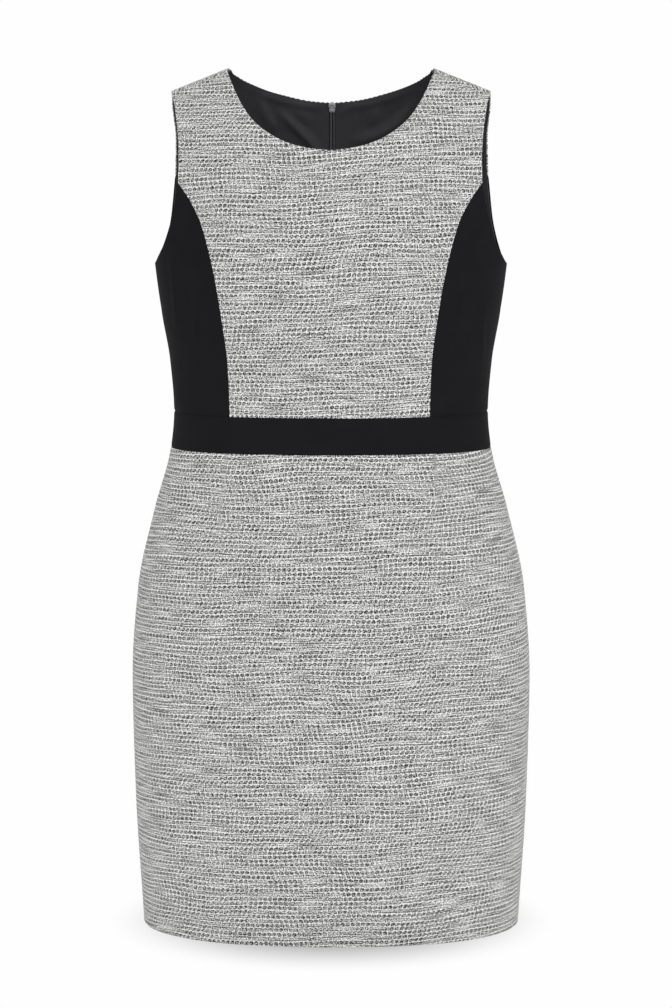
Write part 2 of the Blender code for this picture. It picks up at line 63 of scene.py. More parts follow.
# height on the centre line, half width, front depth, back depth
SECTIONS = (
    (SHOULDER_CENTRE_Z, 0.1900, 0.000, 0.000),
    (0.0290, 0.1900, 0.042, 0.048),
    (-0.0180, 0.1900, 0.074, 0.080),
    (-0.0675, 0.1895, 0.093, 0.096),
    (-0.1310, 0.1875, 0.112, 0.104),
    (-0.1730, 0.1843, 0.120, 0.106),
    (BUST_Z, 0.1780, 0.124, 0.104),
    (-0.2900, 0.1690, 0.112, 0.098),
    (WAISTBAND_TOP_Z, 0.1652, 0.102, 0.096),
    (-0.3815, 0.1686, 0.101, 0.098),
    (-0.4450, 0.1856, 0.108, 0.111),
    (-0.5300, 0.2041, 0.116, 0.128),
    (-0.6250, 0.2106, 0.122, 0.134),
    (-0.7500, 0.2079, 0.127, 0.130),
    (HEM_Z, 0.1999, 0.130, 0.122),
)
# distance from the centre line, height
FRONT_NECKLINE = (
    (0.0000, -0.0705),
    (0.0294, -0.0668),
    (0.0547, -0.0577),
    (0.0804, -0.0383),
    (0.0944, -0.0178),
    (0.1025, -0.0012),
)
FRONT_ARMHOLE_TOP = ((0.1605, -0.034), (0.1577, -0.053), (0.1560, -0.080), (0.1564, -0.104))
FRONT_PRINCESS = (
    (0.1435, -0.122),
    (0.1318, -0.145),
    (0.1228, -0.175),
    (0.1135, -0.220),
    (0.1058, -0.273),
    (0.1029, WAISTBAND_TOP_Z),
)

TWEED_THICKNESS = 0.0020
CENTRE_FRONT = 0.0
SIDE = math.pi / 2
NECK_SHARE = 0.7  # of a bodice panel's top, the rest being the shoulder
PRINCESS_SHARE = 9 / 14  # of its outer side, the rest being the armhole
# about how long each border is, to space its points
NECK_RUN = 0.150
SHOULDER_RUN = 0.063
PRINCESS_RUN = 0.225
ARMHOLE_RUN = 0.075
GRID_SPACING = 0.0030
FINE_SPACING = 0.0016  # along edges that show their yarns
CLOSE_LINES = np.array([0.0003, 0.0007, 0.0012, 0.0019, 0.0030])  # beside each edge
CLEAR_OF_CLOSE = 1.3  # times the last close line: where the even spacing starts
SMALLEST = 1e-9


def smooth_curve(knots, values):
    """A function that runs smoothly through rows of values and never overshoots them."""
    knots = np.array(knots, float)
    values = np.array(values, float)
    width = np.diff(knots).reshape((-1,) + (1,) * (values.ndim - 1))
    slope = np.diff(values, axis=0) / width
    product = slope[:-1] * slope[1:]
    total = np.where(product > 0, slope[:-1] + slope[1:], 1.0)
    middle = np.where(product > 0, 2 * product / total, 0.0)
    tangent = np.concatenate([slope[:1], middle, slope[-1:]])

    def at(place):
        place = np.asarray(place, float)
        i = np.clip(np.searchsorted(knots, place, side="right") - 1, 0, len(slope) - 1)
        t = (place - knots[i]) / (knots[i + 1] - knots[i])
        t = t.reshape(t.shape + (1,) * (values.ndim - 1))
        rise = width[i] * (t * (1 - t) ** 2 * tangent[i] - t**2 * (1 - t) * tangent[i + 1])
        return values[i] * (1 + 2 * t) * (1 - t) ** 2 + values[i + 1] * t**2 * (3 - 2 * t) + rise

    return at


def level_at(across, height):
    """0 on the shoulders' top, 1 at the bust and 2 at the hem."""
    top = SHOULDER_CENTRE_Z - SHOULDER_SLOPE * np.abs(across)
    upper = np.sqrt(np.clip((top - height) / (top - BUST_Z), 0, None))
    lower = 1 + (BUST_Z - height) / (BUST_Z - HEM_Z)
    return np.where(np.asarray(height) > BUST_Z, upper, lower)


section_rows = np.array(SECTIONS)
section = smooth_curve(level_at(0, section_rows[:, 0]), section_rows[:, 1:])


def surface(angle, level):
    """Points on the dress, at an angle round it from the centre front.

    A level below 0 has passed over the shoulder's top, to the other side.
    """
    angle, level = np.broadcast_arrays(np.asarray(angle, float), np.asarray(level, float))
    half_width, front, back = np.moveaxis(section(np.abs(level)), -1, 0)
    sine, cosine = np.sin(angle), np.cos(angle)
    power = 2 / ROUNDNESS
    x = half_width * np.sign(sine) * np.abs(sine) ** power
    towards_front = (cosine > 0) == (level >= 0)
    y = np.where(towards_front, -front, back) * np.abs(cosine) ** power
    top = SHOULDER_CENTRE_Z - SHOULDER_SLOPE * np.abs(x)
    upper = top - level**2 * (top - BUST_Z)
    lower = BUST_Z - (level - 1) * (BUST_Z - HEM_Z)
    return np.stack([x, y, np.where(level < 1, upper, lower)], axis=-1)


def normal(angle, level, step=0.001):
    """Unit vectors out of the surface."""
    along = surface(angle + step, level) - surface(angle - step, level)
    down = surface(angle, level + step) - surface(angle, level - step)
    out = np.cross(down, along)
    return out / np.linalg.norm(out, axis=-1, keepdims=True)


def spot(across, height, back=False):
    """The angle and level of a place that is given by its distance from the centre line and height."""
    level = level_at(across, height)
    angle = np.arcsin(np.clip(np.abs(across) / section(level)[..., 0], 0, 1) ** (ROUNDNESS / 2))
    angle = math.pi - angle if back else angle
    return np.stack([np.where(np.asarray(across) < 0, -angle, angle), level], axis=-1)


def spots(rows, back=False):
    return [spot(across, height, back) for across, height in rows]


def shoulder_spot(across, back=False):
    angle = spot(across, SHOULDER_CENTRE_Z - SHOULDER_SLOPE * across, back)[0]
    return np.array([angle, -SHOULDER_SEAM_LEVEL if back else SHOULDER_SEAM_LEVEL])


def running_length(line):
    lengths = np.linalg.norm(np.diff(surface(*line.T), axis=0), axis=1)
    return np.concatenate([[0], np.cumsum(lengths)])


def along(rows, places, even_levels=False):
    """Spots at these shares of a smooth line through rows of angle and level."""
    rows = np.array(rows)
    reach = running_length(rows)
    line = smooth_curve(reach, rows)(np.linspace(0, reach[-1], 400))
    run = np.abs(line[:, 1] - line[0, 1]) if even_levels else running_length(line)
    at = np.asarray(places) * run[-1]
    return np.stack([np.interp(at, run, line[:, 0]), np.interp(at, run, line[:, 1])], axis=-1)


def places(stretches, close_start=True, close_end=True):
    """Shares of a line, 0 to 1: stretches are (share where each ends, length, spacing)."""
    shares = [np.zeros(1)]
    for end, length, spacing in stretches:
        start = shares[-1][-1]
        shares.append(np.linspace(start, end, max(1, round(length / spacing)) + 1)[1:])
    shares = np.concatenate(shares)
    first, last = stretches[0], stretches[-1]
    starting = CLOSE_LINES * first[0] / first[1]
    ending = 1 - CLOSE_LINES * (last[0] - (stretches[-2][0] if len(stretches) > 1 else 0)) / last[1]
    if close_start:
        shares = np.concatenate([[0], starting, shares[shares > starting[-1] * CLEAR_OF_CLOSE]])
    if close_end:
        kept = shares[1 - shares > (1 - ending[-1]) * CLEAR_OF_CLOSE]
        shares = np.concatenate([kept, ending[::-1], [1]])
    return shares


def coons(bottom, top, inner, outer, across, up):
    """Fills four border lines of angle and level, given at the shares across and up.

    The shares are squared, so that the bends of the top and the outer side fade quickly inwards.
    """
    s = across[None, :, None] ** 2
    t = up[:, None, None] ** 2
    sideways = (1 - s) * inner[:, None] + s * outer[:, None]
    upright = (1 - t) * bottom[None] + t * top[None]
    corners = (1 - t) * ((1 - s) * bottom[0] + s * bottom[-1]) + t * ((1 - s) * top[0] + s * top[-1])
    return sideways + upright - corners


def mirrored(grid):
    """The same patch on the wearer's other side."""
    return grid[:, ::-1] * (-1, 1)


def level_line(start_angle, end_angle, height, shares):
    angles = start_angle + (end_angle - start_angle) * shares
    return np.stack([angles, np.full(len(shares), float(level_at(0, height)))], axis=-1)


def bodice_grid(neckline, armhole_top, princess, back=False, spacing=1):
    """A centre panel's half, from the centre line out, and its counts of neck columns and princess rows."""
    centre = math.pi if back else CENTRE_FRONT
    neck_point = shoulder_spot(SHOULDER_NECK_X, back)
    tip = shoulder_spot(SHOULDER_TIP_X, back)
    arm_end = spots(armhole_top, back)
    fine = FINE_SPACING * spacing
    across = places(((NECK_SHARE, NECK_RUN, fine), (1, SHOULDER_RUN, fine)), close_start=back)
    up = places(((PRINCESS_SHARE, PRINCESS_RUN, GRID_SPACING * spacing), (1, ARMHOLE_RUN, fine)))
    neck_columns = across <= NECK_SHARE + SMALLEST
    princess_rows = up <= PRINCESS_SHARE + SMALLEST
    neck = along(spots(neckline, back) + [neck_point], across[neck_columns] / NECK_SHARE)
    shoulder = along([neck_point, tip], (across[~neck_columns] - NECK_SHARE) / (1 - NECK_SHARE))
    seam = along([arm_end[-1]] + spots(princess, back), 1 - up[princess_rows] / PRINCESS_SHARE)
    arm_shares = 1 - (up[~princess_rows] - PRINCESS_SHARE) / (1 - PRINCESS_SHARE)
    armhole = along([tip] + arm_end, arm_shares, even_levels=True)
    waist = level_line(centre, seam[0, 0], WAISTBAND_TOP_Z, across)
    middle = along([(centre, waist[0, 1]), neck[0]], up)
    top = np.concatenate([neck, shoulder])
    outer = np.concatenate([seam, armhole])
    grid = coons(waist, top, middle, outer, across, up)
    return grid, int(neck_columns.sum()), int(princess_rows.sum())


def depth_at(across, height, back):
    """How far the surface lies in front of, or behind, the plane through both sides."""
    half_width, front, rear = np.moveaxis(section(level_at(across, height)), -1, 0)
    inside = np.clip(1 - (np.abs(across) / half_width) ** ROUNDNESS, 0, None)
    return (rear if back else front) * inside ** (1 / ROUNDNESS)


GRAIN_STEPS = np.linspace(0, 1, 33)[:, None, None]
ROW_TILT = math.tan(math.radians(1.5))  # the rows rise a little towards the wearer's left


def rows_up(across, height, back):
    """The rows' height above the bust: plain height up the chest, the cloth's length at the shoulder."""
    heights = BUST_Z + (height - BUST_Z) * GRAIN_STEPS
    rise = np.diff(heights, axis=0)
    lean = np.diff(depth_at(across + 0 * heights, heights, back), axis=0)
    length = np.hypot(rise, lean**2 / (np.hypot(rise, lean) + SMALLEST)).sum(0)
    return np.where(height > BUST_Z, length, height - BUST_Z)


def grain(grid, back=False):
    """Each point's place on the flat cloth: metres across from the centre line, and up the rows."""
    points = surface(grid[..., 0], grid[..., 1])
    across, height = points[..., 0], points[..., 2]
    steps = across * np.sin(GRAIN_STEPS * math.pi / 2)
    depths = depth_at(steps, height + 0 * steps, back)
    girth = np.hypot(np.diff(steps, axis=0), np.diff(depths, axis=0)).sum(0) * np.sign(across)
    up = rows_up(across, height, back)
    top = SHOULDER_CENTRE_Z - SHOULDER_SLOPE * np.abs(across)
    over = rows_up(across, top, back) + rows_up(across, top, not back) - rows_up(across, height, not back)
    rows = np.where(grid[..., 1] < 0, over, up) - ROW_TILT * girth
    return np.stack([girth, rows], axis=-1)


def nearest_on(points, line):
    """The distance from each point to a line of points, and the share of the line where it is nearest."""
    nearest = np.full(points.shape[:-1], np.inf)
    place = np.zeros(points.shape[:-1])
    for i, (start, end) in enumerate(zip(line[:-1], line[1:])):
        run = end - start
        share = np.clip((points - start) @ run / max(run @ run, SMALLEST), 0, 1)
        distance = np.linalg.norm(points - start - share[..., None] * run, axis=-1)
        place = np.where(distance < nearest, (i + share) / (len(line) - 1), place)
        nearest = np.minimum(nearest, distance)
    return nearest, place


def seen_from(side, array):
    """A view of a grid that has one of its borders as its first row."""
    if side in ("inner", "outer"):
        array = array.swapaxes(0, 1)
    return array[::-1] if side in ("top", "outer") else array


NEAR_ROWS = 16  # how many of a grid's rows an edge can reach
YARN_PITCH = 0.0054
EDGE_STRETCH = 0.006  # how far in a free edge's pull fades
SEAM_FADE = 0.0016  # how far in a seam's sinking fades
ROUND_FILL = 0.96  # how much of a free edge's half circle is rounded off
# size, length and start of each wave
YARN_WANDERS = ((0.9, 0.0137, 0.0), (0.6, 0.0061, 1.1))
YARN_SWELLS = ((0.3, 0.0212, 0.7), (0.15, 0.0083, 0.0))
YARN_SWELL = 0.55


def bell(distance, width):
    """1 at no distance, falling softly to 0 a little beyond the width."""
    return np.exp(-((distance / width) ** 2))


def yarn_bumps(run):
    """Uneven bumps, 0 to 1, where yarns turn over an edge, by the length along it."""
    wander = sum(size * np.sin(run / length + start) for size, length, start in YARN_WANDERS)
    swells = [size * np.sin(run / length + start) for size, length, start in YARN_SWELLS]
    swell = sum(swells, start=YARN_SWELL)
    return np.clip((0.5 + 0.5 * np.sin(2 * math.pi * run / YARN_PITCH + wander)) * swell, 0, 1)


def cloth(name, grid, thickness, edges, depth=0.0, folds=(), back=False, shift=(0, 0)):
    """A thin closed shell on a grid of angle and level.

    edges are (side, first, last, kind, reach, bumps): a "seam" sinks by reach beside its neighbour,
    a "free" edge is rounded and stands out by reach, and bumps is how far its yarns stand out more.
    folds are (places, width, depth): soft troughs, or ridges where the depth is negative. shift
    moves the weave.
    """
    smooth = surface(grid[..., 0], grid[..., 1])
    out = normal(grid[..., 0], grid[..., 1])
    sink = np.zeros(grid.shape[:2])
    fold = np.zeros(grid.shape[:2])
    roll = np.zeros(grid.shape[:2])
    stray = np.zeros_like(smooth)
    for side, first, last, kind, reach, bumps in edges:
        seen = seen_from(side, smooth)
        near, _ = nearest_on(seen[:NEAR_ROWS], seen[0, first:last])
        if kind == "seam":
            seen_from(side, sink)[:NEAR_ROWS] += reach * bell(near, SEAM_FADE)
        else:
            inside = np.clip(near / (thickness / 2), 0, 1)
            rounded = (thickness / 2) * (1 - np.sqrt(1 - ROUND_FILL * (1 - inside) ** 2))
            beside = seen_from(side, roll)
            beside[:NEAR_ROWS] = np.maximum(beside[:NEAR_ROWS], rounded)
        line = seen[0, first:last]
        forward = np.gradient(line, axis=0)
        forward /= np.linalg.norm(forward, axis=-1, keepdims=True)
        outwards = line - seen[3, first:last]
        outwards -= forward * np.sum(outwards * forward, axis=-1, keepdims=True)
        outwards /= np.linalg.norm(outwards, axis=-1, keepdims=True) + SMALLEST
        run = np.concatenate([[0], np.cumsum(np.linalg.norm(np.diff(line, axis=0), axis=1))])
        near = near[:, first:last, None]
        push = bumps * yarn_bumps(run)[None, :, None] * bell(near, YARN_PITCH / 3)
        if kind == "free":
            push = push + reach * bell(near, EDGE_STRETCH)
        seen_from(side, stray)[:NEAR_ROWS, first:last] += push * outwards[None]
    for places_on, width, trough in folds:
        route = smooth_curve(np.linspace(0, 1, len(places_on)), places_on)(np.linspace(0, 1, 12))
        line = np.array([surface(*spot(x, z, back)) for x, z in route])
        distance, share = nearest_on(smooth, line)
        fold += trough * bell(distance, width) * np.sin(math.pi * share) ** 0.8
    outside = smooth + stray - out * (depth + fold + sink + roll)[..., None]
    inside = smooth + stray - out * (depth + thickness + fold + sink / 2 - roll)[..., None]
    return shell_mesh(name, outside, inside, grain(grid, back) + shift, back)


def shell_mesh(name, outside, inside, flat, turned):
    """Joins two skins round their rim, with the flat cloth's metres as the UV map named grain.

    turned is for grids whose columns run the other way round the body.
    """
    rows, columns = outside.shape[:2]
    index = np.arange(rows * columns).reshape(rows, columns)
    quads = np.stack([index[:-1, :-1], index[:-1, 1:], index[1:, 1:], index[1:, :-1]], axis=-1).reshape(-1, 4)
    rim = np.concatenate([index[0, :-1], index[:-1, -1], index[-1, :0:-1], index[:0:-1, 0]])
    beyond = np.roll(rim, -1)
    behind = rows * columns
    wall = np.stack([beyond, rim, rim + behind, beyond + behind], axis=-1)
    faces = np.concatenate([quads, quads[:, ::-1] + behind, wall])
    faces = faces[:, ::-1] if turned else faces
    points = np.concatenate([outside.reshape(-1, 3), inside.reshape(-1, 3)])
    mesh = bpy.data.meshes.new(name)
    mesh.from_pydata(points, [], faces)
    layer = mesh.uv_layers.new(name="grain")
    flat = np.concatenate([flat.reshape(-1, 2)] * 2)
    layer.uv.foreach_set("vector", flat[faces.ravel()].astype(np.float32).ravel())
    mesh.shade_smooth()
    mesh.validate()
    made = bpy.data.objects.new(name, mesh)
    bpy.context.scene.collection.objects.link(made)
    return made


def linear(hex_colour):
    """The linear colour of an sRGB hex value, with alpha."""
    shades = [int(hex_colour[i : i + 2], 16) / 255 for i in (1, 3, 5)]
    return [c / 12.92 if c <= 0.04045 else ((c + 0.055) / 1.055) ** 2.4 for c in shades] + [1.0]


def fill(tree, made, inputs):
    """Gives a node's inputs, in order or by name, a value or a link each."""
    pairs = inputs.items() if isinstance(inputs, dict) else enumerate(inputs)
    for name, value in pairs:
        if isinstance(value, bpy.types.NodeSocket):
            tree.links.new(value, made.inputs[name])
        else:
            made.inputs[name].default_value = value


def add(tree, kind, inputs=(), output=0, **settings):
    """Adds a node with its settings and inputs, and gives back one of its outputs."""
    made = tree.nodes.new("ShaderNode" + kind)
    for name, value in settings.items():
        setattr(made, name, value)
    fill(tree, made, inputs)
    return made.outputs[output]


def new_material(name):
    made = bpy.data.materials.new(name)
    made.use_nodes = True
    return made, made.node_tree, made.node_tree.nodes["Principled BSDF"]


# Boucle tweed: rows of dark looped yarn show as ovals through a net of pale yarns. It is matt and
# a little hairy, with next to no gloss. Each row starts at its own place, the rows rise and fall
# with the yarn, every other row is fainter, and where the dark yarn lies behind, a row shows only
# fine streaks.
LOOP_WIDTH = 0.0052
ROW_HEIGHT = 0.0045
ROW_SWAY = 0.0098
YARN_WANDER = 0.0015
STREAK_LENGTH = 0.034
STREAK_HEIGHT = 0.0017
SWAY_WAVES = (7.0, 16.0, 0.0)  # slow changes in a metre, across and up
WANDER_SPACING = 0.007
RUN_LENGTH = 0.050  # how long the dark yarn stays on the face
HAIR_SPACING = 0.0013
OVAL_WIDTH = 0.46  # half widths and heights of a loop and of its light heart, as shares of its cell
OVAL_HEIGHT = 0.42
HEART_WIDTH = 0.27
HEART_HEIGHT = 0.22
PALE_YARN = "#FFFFFC"
MIDDLE_YARN = "#AFAFAE"
DARK_YARN = "#2A2A2C"

boucle_tweed, tree, shader = new_material("boucle_tweed")
on_cloth = add(tree, "UVMap", uv_map="grain")
slow_place = add(tree, "VectorMath", [on_cloth, SWAY_WAVES], operation="MULTIPLY")
sway, slow = add(
    tree, "TexNoise", {"Vector": slow_place, "Scale": 1.0, "Detail": 1.0}, noise_dimensions="2D"
).node.outputs
sway = add(tree, "Math", [sway, 0.5], operation="SUBTRACT")
sway = add(tree, "Math", [sway, ROW_SWAY], operation="MULTIPLY")
sway = add(tree, "CombineXYZ", {"Y": sway})
swayed = add(tree, "VectorMath", [on_cloth, sway], operation="ADD")
wander = add(
    tree,
    "TexNoise",
    {"Vector": on_cloth, "Scale": 1 / WANDER_SPACING, "Detail": 3.0, "Roughness": 0.75},
    output="Color",
    noise_dimensions="2D",
)
wander = add(tree, "VectorMath", [wander, (0.5, 0.5, 0.5)], operation="SUBTRACT")
strayed = add(
    tree, "VectorMath", [wander, (YARN_WANDER, YARN_WANDER, 0.0), swayed], operation="MULTIPLY_ADD"
)
counted = add(tree, "VectorMath", [strayed, (1 / LOOP_WIDTH, 1 / ROW_HEIGHT, 0.0)], operation="MULTIPLY")
across, up, _ = add(tree, "SeparateXYZ", [counted]).node.outputs
row = add(tree, "Math", [up], operation="FLOOR")
in_loop_y = add(tree, "Math", [up, row], operation="SUBTRACT")
in_loop_y = add(tree, "Math", [in_loop_y, 0.5], operation="SUBTRACT")
row_chance = add(tree, "TexWhiteNoise", {"W": row}, noise_dimensions="1D")
across = add(tree, "Math", [across, row_chance], operation="ADD")
lean = add(tree, "SeparateXYZ", [slow], output="Y")
lean = add(tree, "MapRange", {"Value": lean, "From Min": 0.3, "From Max": 0.7, "To Min": -0.6, "To Max": 0.3})
across = add(tree, "Math", [in_loop_y, lean, across], operation="MULTIPLY_ADD")
loop = add(tree, "Math", [across], operation="FLOOR")
in_loop_x = add(tree, "Math", [across, loop], operation="SUBTRACT")
in_loop_x = add(tree, "Math", [in_loop_x, 0.5], operation="SUBTRACT")
in_loop = add(tree, "CombineXYZ", [in_loop_x, in_loop_y])
cell = add(tree, "CombineXYZ", [loop, row])
cell_chance = add(tree, "TexWhiteNoise", {"Vector": cell}, output="Color", noise_dimensions="2D")
chance_a, chance_b, chance_c = add(tree, "SeparateXYZ", [cell_chance]).node.outputs

oval = add(tree, "VectorMath", [in_loop, (1 / OVAL_WIDTH, 1 / OVAL_HEIGHT, 0.0)], operation="MULTIPLY")
oval = add(tree, "VectorMath", [oval], output="Value", operation="LENGTH")
dark = add(
    tree,
    "MapRange",
    {"Value": oval, "From Min": 0.72, "From Max": 1.05, "To Min": 1.0, "To Max": 0.0},
    interpolation_type="SMOOTHSTEP",
)
net = add(
    tree, "MapRange", {"Value": oval, "From Min": 0.92, "From Max": 1.12}, interpolation_type="SMOOTHSTEP"
)
heart = add(tree, "VectorMath", [cell_chance, (0.5, 0.5, 0.0)], operation="SUBTRACT")
heart = add(tree, "VectorMath", [heart, (0.30, 0.36, 0.0), in_loop], operation="MULTIPLY_ADD")
heart = add(tree, "VectorMath", [heart, (1 / HEART_WIDTH, 1 / HEART_HEIGHT, 0.0)], operation="MULTIPLY")
heart = add(tree, "VectorMath", [heart], output="Value", operation="LENGTH")
heart = add(
    tree,
    "MapRange",
    {"Value": heart, "From Min": 0.4, "From Max": 1.1, "To Min": 1.0, "To Max": 0.0},
    interpolation_type="SMOOTHSTEP",
)
openness = add(tree, "MapRange", {"Value": chance_c, "To Min": 0.3, "To Max": 1.0})
heart = add(tree, "Math", [heart, openness], operation="MULTIPLY")
heart = add(tree, "Math", [heart, -1.0, 1.0], operation="MULTIPLY_ADD")
loop_dye = add(tree, "MapRange", {"Value": chance_a, "To Min": 0.45, "To Max": 0.95})
dark = add(tree, "Math", [dark, heart], operation="MULTIPLY")
dark = add(tree, "Math", [dark, loop_dye], operation="MULTIPLY")
net_light = add(tree, "MapRange", {"Value": chance_b, "To Min": 0.55, "To Max": 1.05})
net_arch = add(tree, "Math", [in_loop_y, 0.7, 0.75], operation="MULTIPLY_ADD")
net = add(tree, "Math", [net, net_light], operation="MULTIPLY")
net = add(tree, "Math", [net, net_arch], operation="MULTIPLY")
loops = add(tree, "Math", [net, dark], operation="SUBTRACT")

# How much of each row's dark yarn lies on the face.
cloth_x, _, _ = add(tree, "SeparateXYZ", [on_cloth]).node.outputs
run_x = add(tree, "Math", [cloth_x, 1 / RUN_LENGTH], operation="MULTIPLY")
row_place = add(tree, "Math", [row, 0.83], operation="MULTIPLY")
run_place = add(tree, "CombineXYZ", [run_x, row_place])
on_face = add(
    tree,
    "TexNoise",
    {"Vector": run_place, "Scale": 1.0, "Detail": 2.0, "Roughness": 0.6},
    noise_dimensions="2D",
)
other_row = add(tree, "Math", [row, 1.0], operation="PINGPONG")
on_face = add(tree, "Math", [other_row, -0.10, on_face], operation="MULTIPLY_ADD")
on_face = add(
    tree, "MapRange", {"Value": on_face, "From Min": 0.31, "From Max": 0.52, "To Min": 0.2, "To Max": 1.0}
)

# Streaks and loose fibres break up every shade.
streak_place = add(
    tree, "VectorMath", [strayed, (1 / STREAK_LENGTH, 1 / STREAK_HEIGHT, 0.0)], operation="MULTIPLY"
)
streaks = add(
    tree, "TexNoise", {"Vector": streak_place, "Scale": 1.0, "Detail": 1.0}, noise_dimensions="2D"
)
streaks = add(
    tree, "MapRange", {"Value": streaks, "From Min": 0.3, "From Max": 0.7, "To Min": -0.54, "To Max": 0.58}
)
pairs_of_yarns = add(tree, "Math", [up, 4 * math.pi], operation="MULTIPLY")
pairs_of_yarns = add(tree, "Math", [pairs_of_yarns], operation="COSINE")
streaks = add(tree, "Math", [pairs_of_yarns, 0.35, streaks], operation="MULTIPLY_ADD")
off_face = add(tree, "Math", [on_face, -0.75, 1.0], operation="MULTIPLY_ADD")
streaks = add(tree, "Math", [streaks, off_face], operation="MULTIPLY")
hair = add(
    tree, "TexNoise", {"Vector": on_cloth, "Scale": 1 / HAIR_SPACING, "Detail": 0.0}, noise_dimensions="2D"
)
hair = add(
    tree, "MapRange", {"Value": hair, "From Min": 0.3, "From Max": 0.7, "To Min": -0.64, "To Max": 0.62}
)
light = add(tree, "Math", [loops, on_face, streaks], operation="MULTIPLY_ADD")
light = add(tree, "Math", [light, hair], operation="ADD")
shade = add(tree, "MapRange", {"Value": light, "From Min": -1.0, "From Max": 1.0})
colour = add(tree, "ValToRGB", [shade])
ramp = colour.node.color_ramp
ramp.elements[0].color = linear(DARK_YARN)
ramp.elements[1].color = linear(PALE_YARN)
ramp.elements.new(0.5).color = linear(MIDDLE_YARN)
bump = add(tree, "Bump", {"Strength": 0.6, "Distance": 0.0005, "Height": light})
fill(tree, shader, {"Base Color": colour, "Normal": bump, "Roughness": 0.95})
fill(tree, shader, {"Specular IOR Level": 0.15, "Sheen Weight": 0.05})

TWEED_SEAM = 0.0004  # how far a tweed edge sinks at a seam
SHOULDER_SEAM = 0.0019
TWEED_BUMPS = 0.0005  # how far its yarns stand out along an edge
NECK_BUMPS = 0.0002


def finish_cloth(piece, material, node):
    """Gives a panel its material and body, and hides the node it stands for."""
    piece.data.materials.append(material)
    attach(piece, "dress")
    if node:
        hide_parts(node)


half, neck_columns, princess_rows = bodice_grid(FRONT_NECKLINE, FRONT_ARMHOLE_TOP, FRONT_PRINCESS)
columns = half.shape[1]
whole = np.concatenate([mirrored(half)[:, :-1], half], axis=1)
last = whole.shape[1]
rows = len(whole)
front_bodice_edges = [
    ("bottom", 0, last, "seam", TWEED_SEAM, TWEED_BUMPS),
    ("top", columns - neck_columns, columns + neck_columns - 1, "free", 0, NECK_BUMPS),
    ("top", 0, columns - neck_columns + 1, "seam", SHOULDER_SEAM, 0),
    ("top", columns + neck_columns - 2, last, "seam", SHOULDER_SEAM, 0),
]
for side in ("inner", "outer"):
    front_bodice_edges += [
        (side, 0, princess_rows, "seam", TWEED_SEAM, TWEED_BUMPS),
        (side, princess_rows - 1, rows, "free", 0, TWEED_BUMPS),
    ]
front_bodice = cloth("front_bodice_cloth", whole, TWEED_THICKNESS, front_bodice_edges)
finish_cloth(front_bodice, boucle_tweed, "front_bodice")


# ---- front side panels ----
# The black panels from the princess seams to the side seams, shaped over the bust.
# A matt polyester crepe, plain and a little stretchy, faced at the armholes.

CREPE_THICKNESS = 0.0015
FRONT_ARMHOLE_BOTTOM = (
    (0.1602, -0.125),
    (0.1655, -0.148),
    (0.1725, -0.168),
    (0.1783, -0.179),
    (0.1823, -0.186),
)
SIDE_RUN = 0.090  # about how long the armhole is here, to space its points
SIDE_SPACING = 0.0025
CREPE_SEAM = 0.0009
CREPE_DEPTH = 0.0002  # how far the crepe lies below the tweed's face

# Polyester crepe: matt and very dark. Its twisted yarns give a pebbled face, too fine to show at
# its real 0.4 mm, so it is drawn at 0.9 mm and kept shallow.
PEBBLE_SPACING = 0.0009
CLOUD_SPACING = 0.035  # a slow change of shade over the cloth
black_crepe, tree, shader = new_material("black_crepe")
place = add(tree, "TexCoord", output="Object")
pebbles = add(
    tree, "TexNoise", {"Vector": place, "Scale": 1 / PEBBLE_SPACING, "Detail": 3.0, "Roughness": 0.6}
)
cloudy = add(tree, "TexNoise", {"Vector": place, "Scale": 1 / CLOUD_SPACING, "Detail": 2.0})
shade = add(tree, "Math", [cloudy, pebbles], operation="MULTIPLY")
colour = add(
    tree, "Mix", {0: shade, 6: linear("#161618"), 7: linear("#232326")}, output=2, data_type="RGBA"
)
roughness = add(tree, "MapRange", {"Value": pebbles, "To Min": 0.72, "To Max": 0.88})
bump = add(tree, "Bump", {"Strength": 0.25, "Distance": 0.0002, "Height": pebbles})
fill(
    tree, shader, {"Base Color": colour, "Roughness": roughness, "Normal": bump, "Specular IOR Level": 0.05}
)


def side_grid(armhole_top, armhole_bottom, princess, back=False):
    """A side panel from its princess seam out to the side seam."""
    armpit_width = float(section(level_at(0, ARMPIT_Z))[0])
    armpit = np.array([SIDE, float(level_at(armpit_width, ARMPIT_Z))])
    arm_end = spots(armhole_top, back)[-1]
    across = places(((1, SIDE_RUN, SIDE_SPACING),))
    up = places(((1, PRINCESS_RUN, GRID_SPACING),))
    seam = along([arm_end] + spots(princess, back), 1 - up)
    top = along([arm_end] + spots(armhole_bottom, back) + [armpit], across)
    bottom = level_line(seam[0, 0], SIDE, WAISTBAND_TOP_Z, across)
    outer = along([(SIDE, bottom[0, 1]), armpit], up)
    return coons(bottom, top, seam, outer, across, up)


OTHER_CUT = 0.31  # how far away in the cloth the second of two like panels is cut


def add_both(name, grid, thickness, edges, finish, folds=((), ()), stands=True, shift=(0, 0), **how):
    """A panel on the wearer's left and its mirror image on the right, each with its own folds."""
    swapped = {"inner": "outer", "outer": "inner"}
    columns = grid.shape[1]
    other = []
    for side, first, last, *rest in edges:
        if side in ("top", "bottom"):
            first, last = columns - last, columns - first
        other.append((swapped.get(side, side), first, last, *rest))
    how_right = {"folds": folds[1], "shift": (shift[0] + OTHER_CUT, shift[1]), **how}
    left = cloth(f"{name}_left_cloth", grid, thickness, edges, folds=folds[0], shift=shift, **how)
    right = cloth(f"{name}_right_cloth", mirrored(grid), thickness, other, **how_right)
    material, slot, flat, area = finish
    for piece, side in ((left, "left"), (right, "right")):
        finish_cloth(piece, material, f"{name}_{side}" if stands else None)


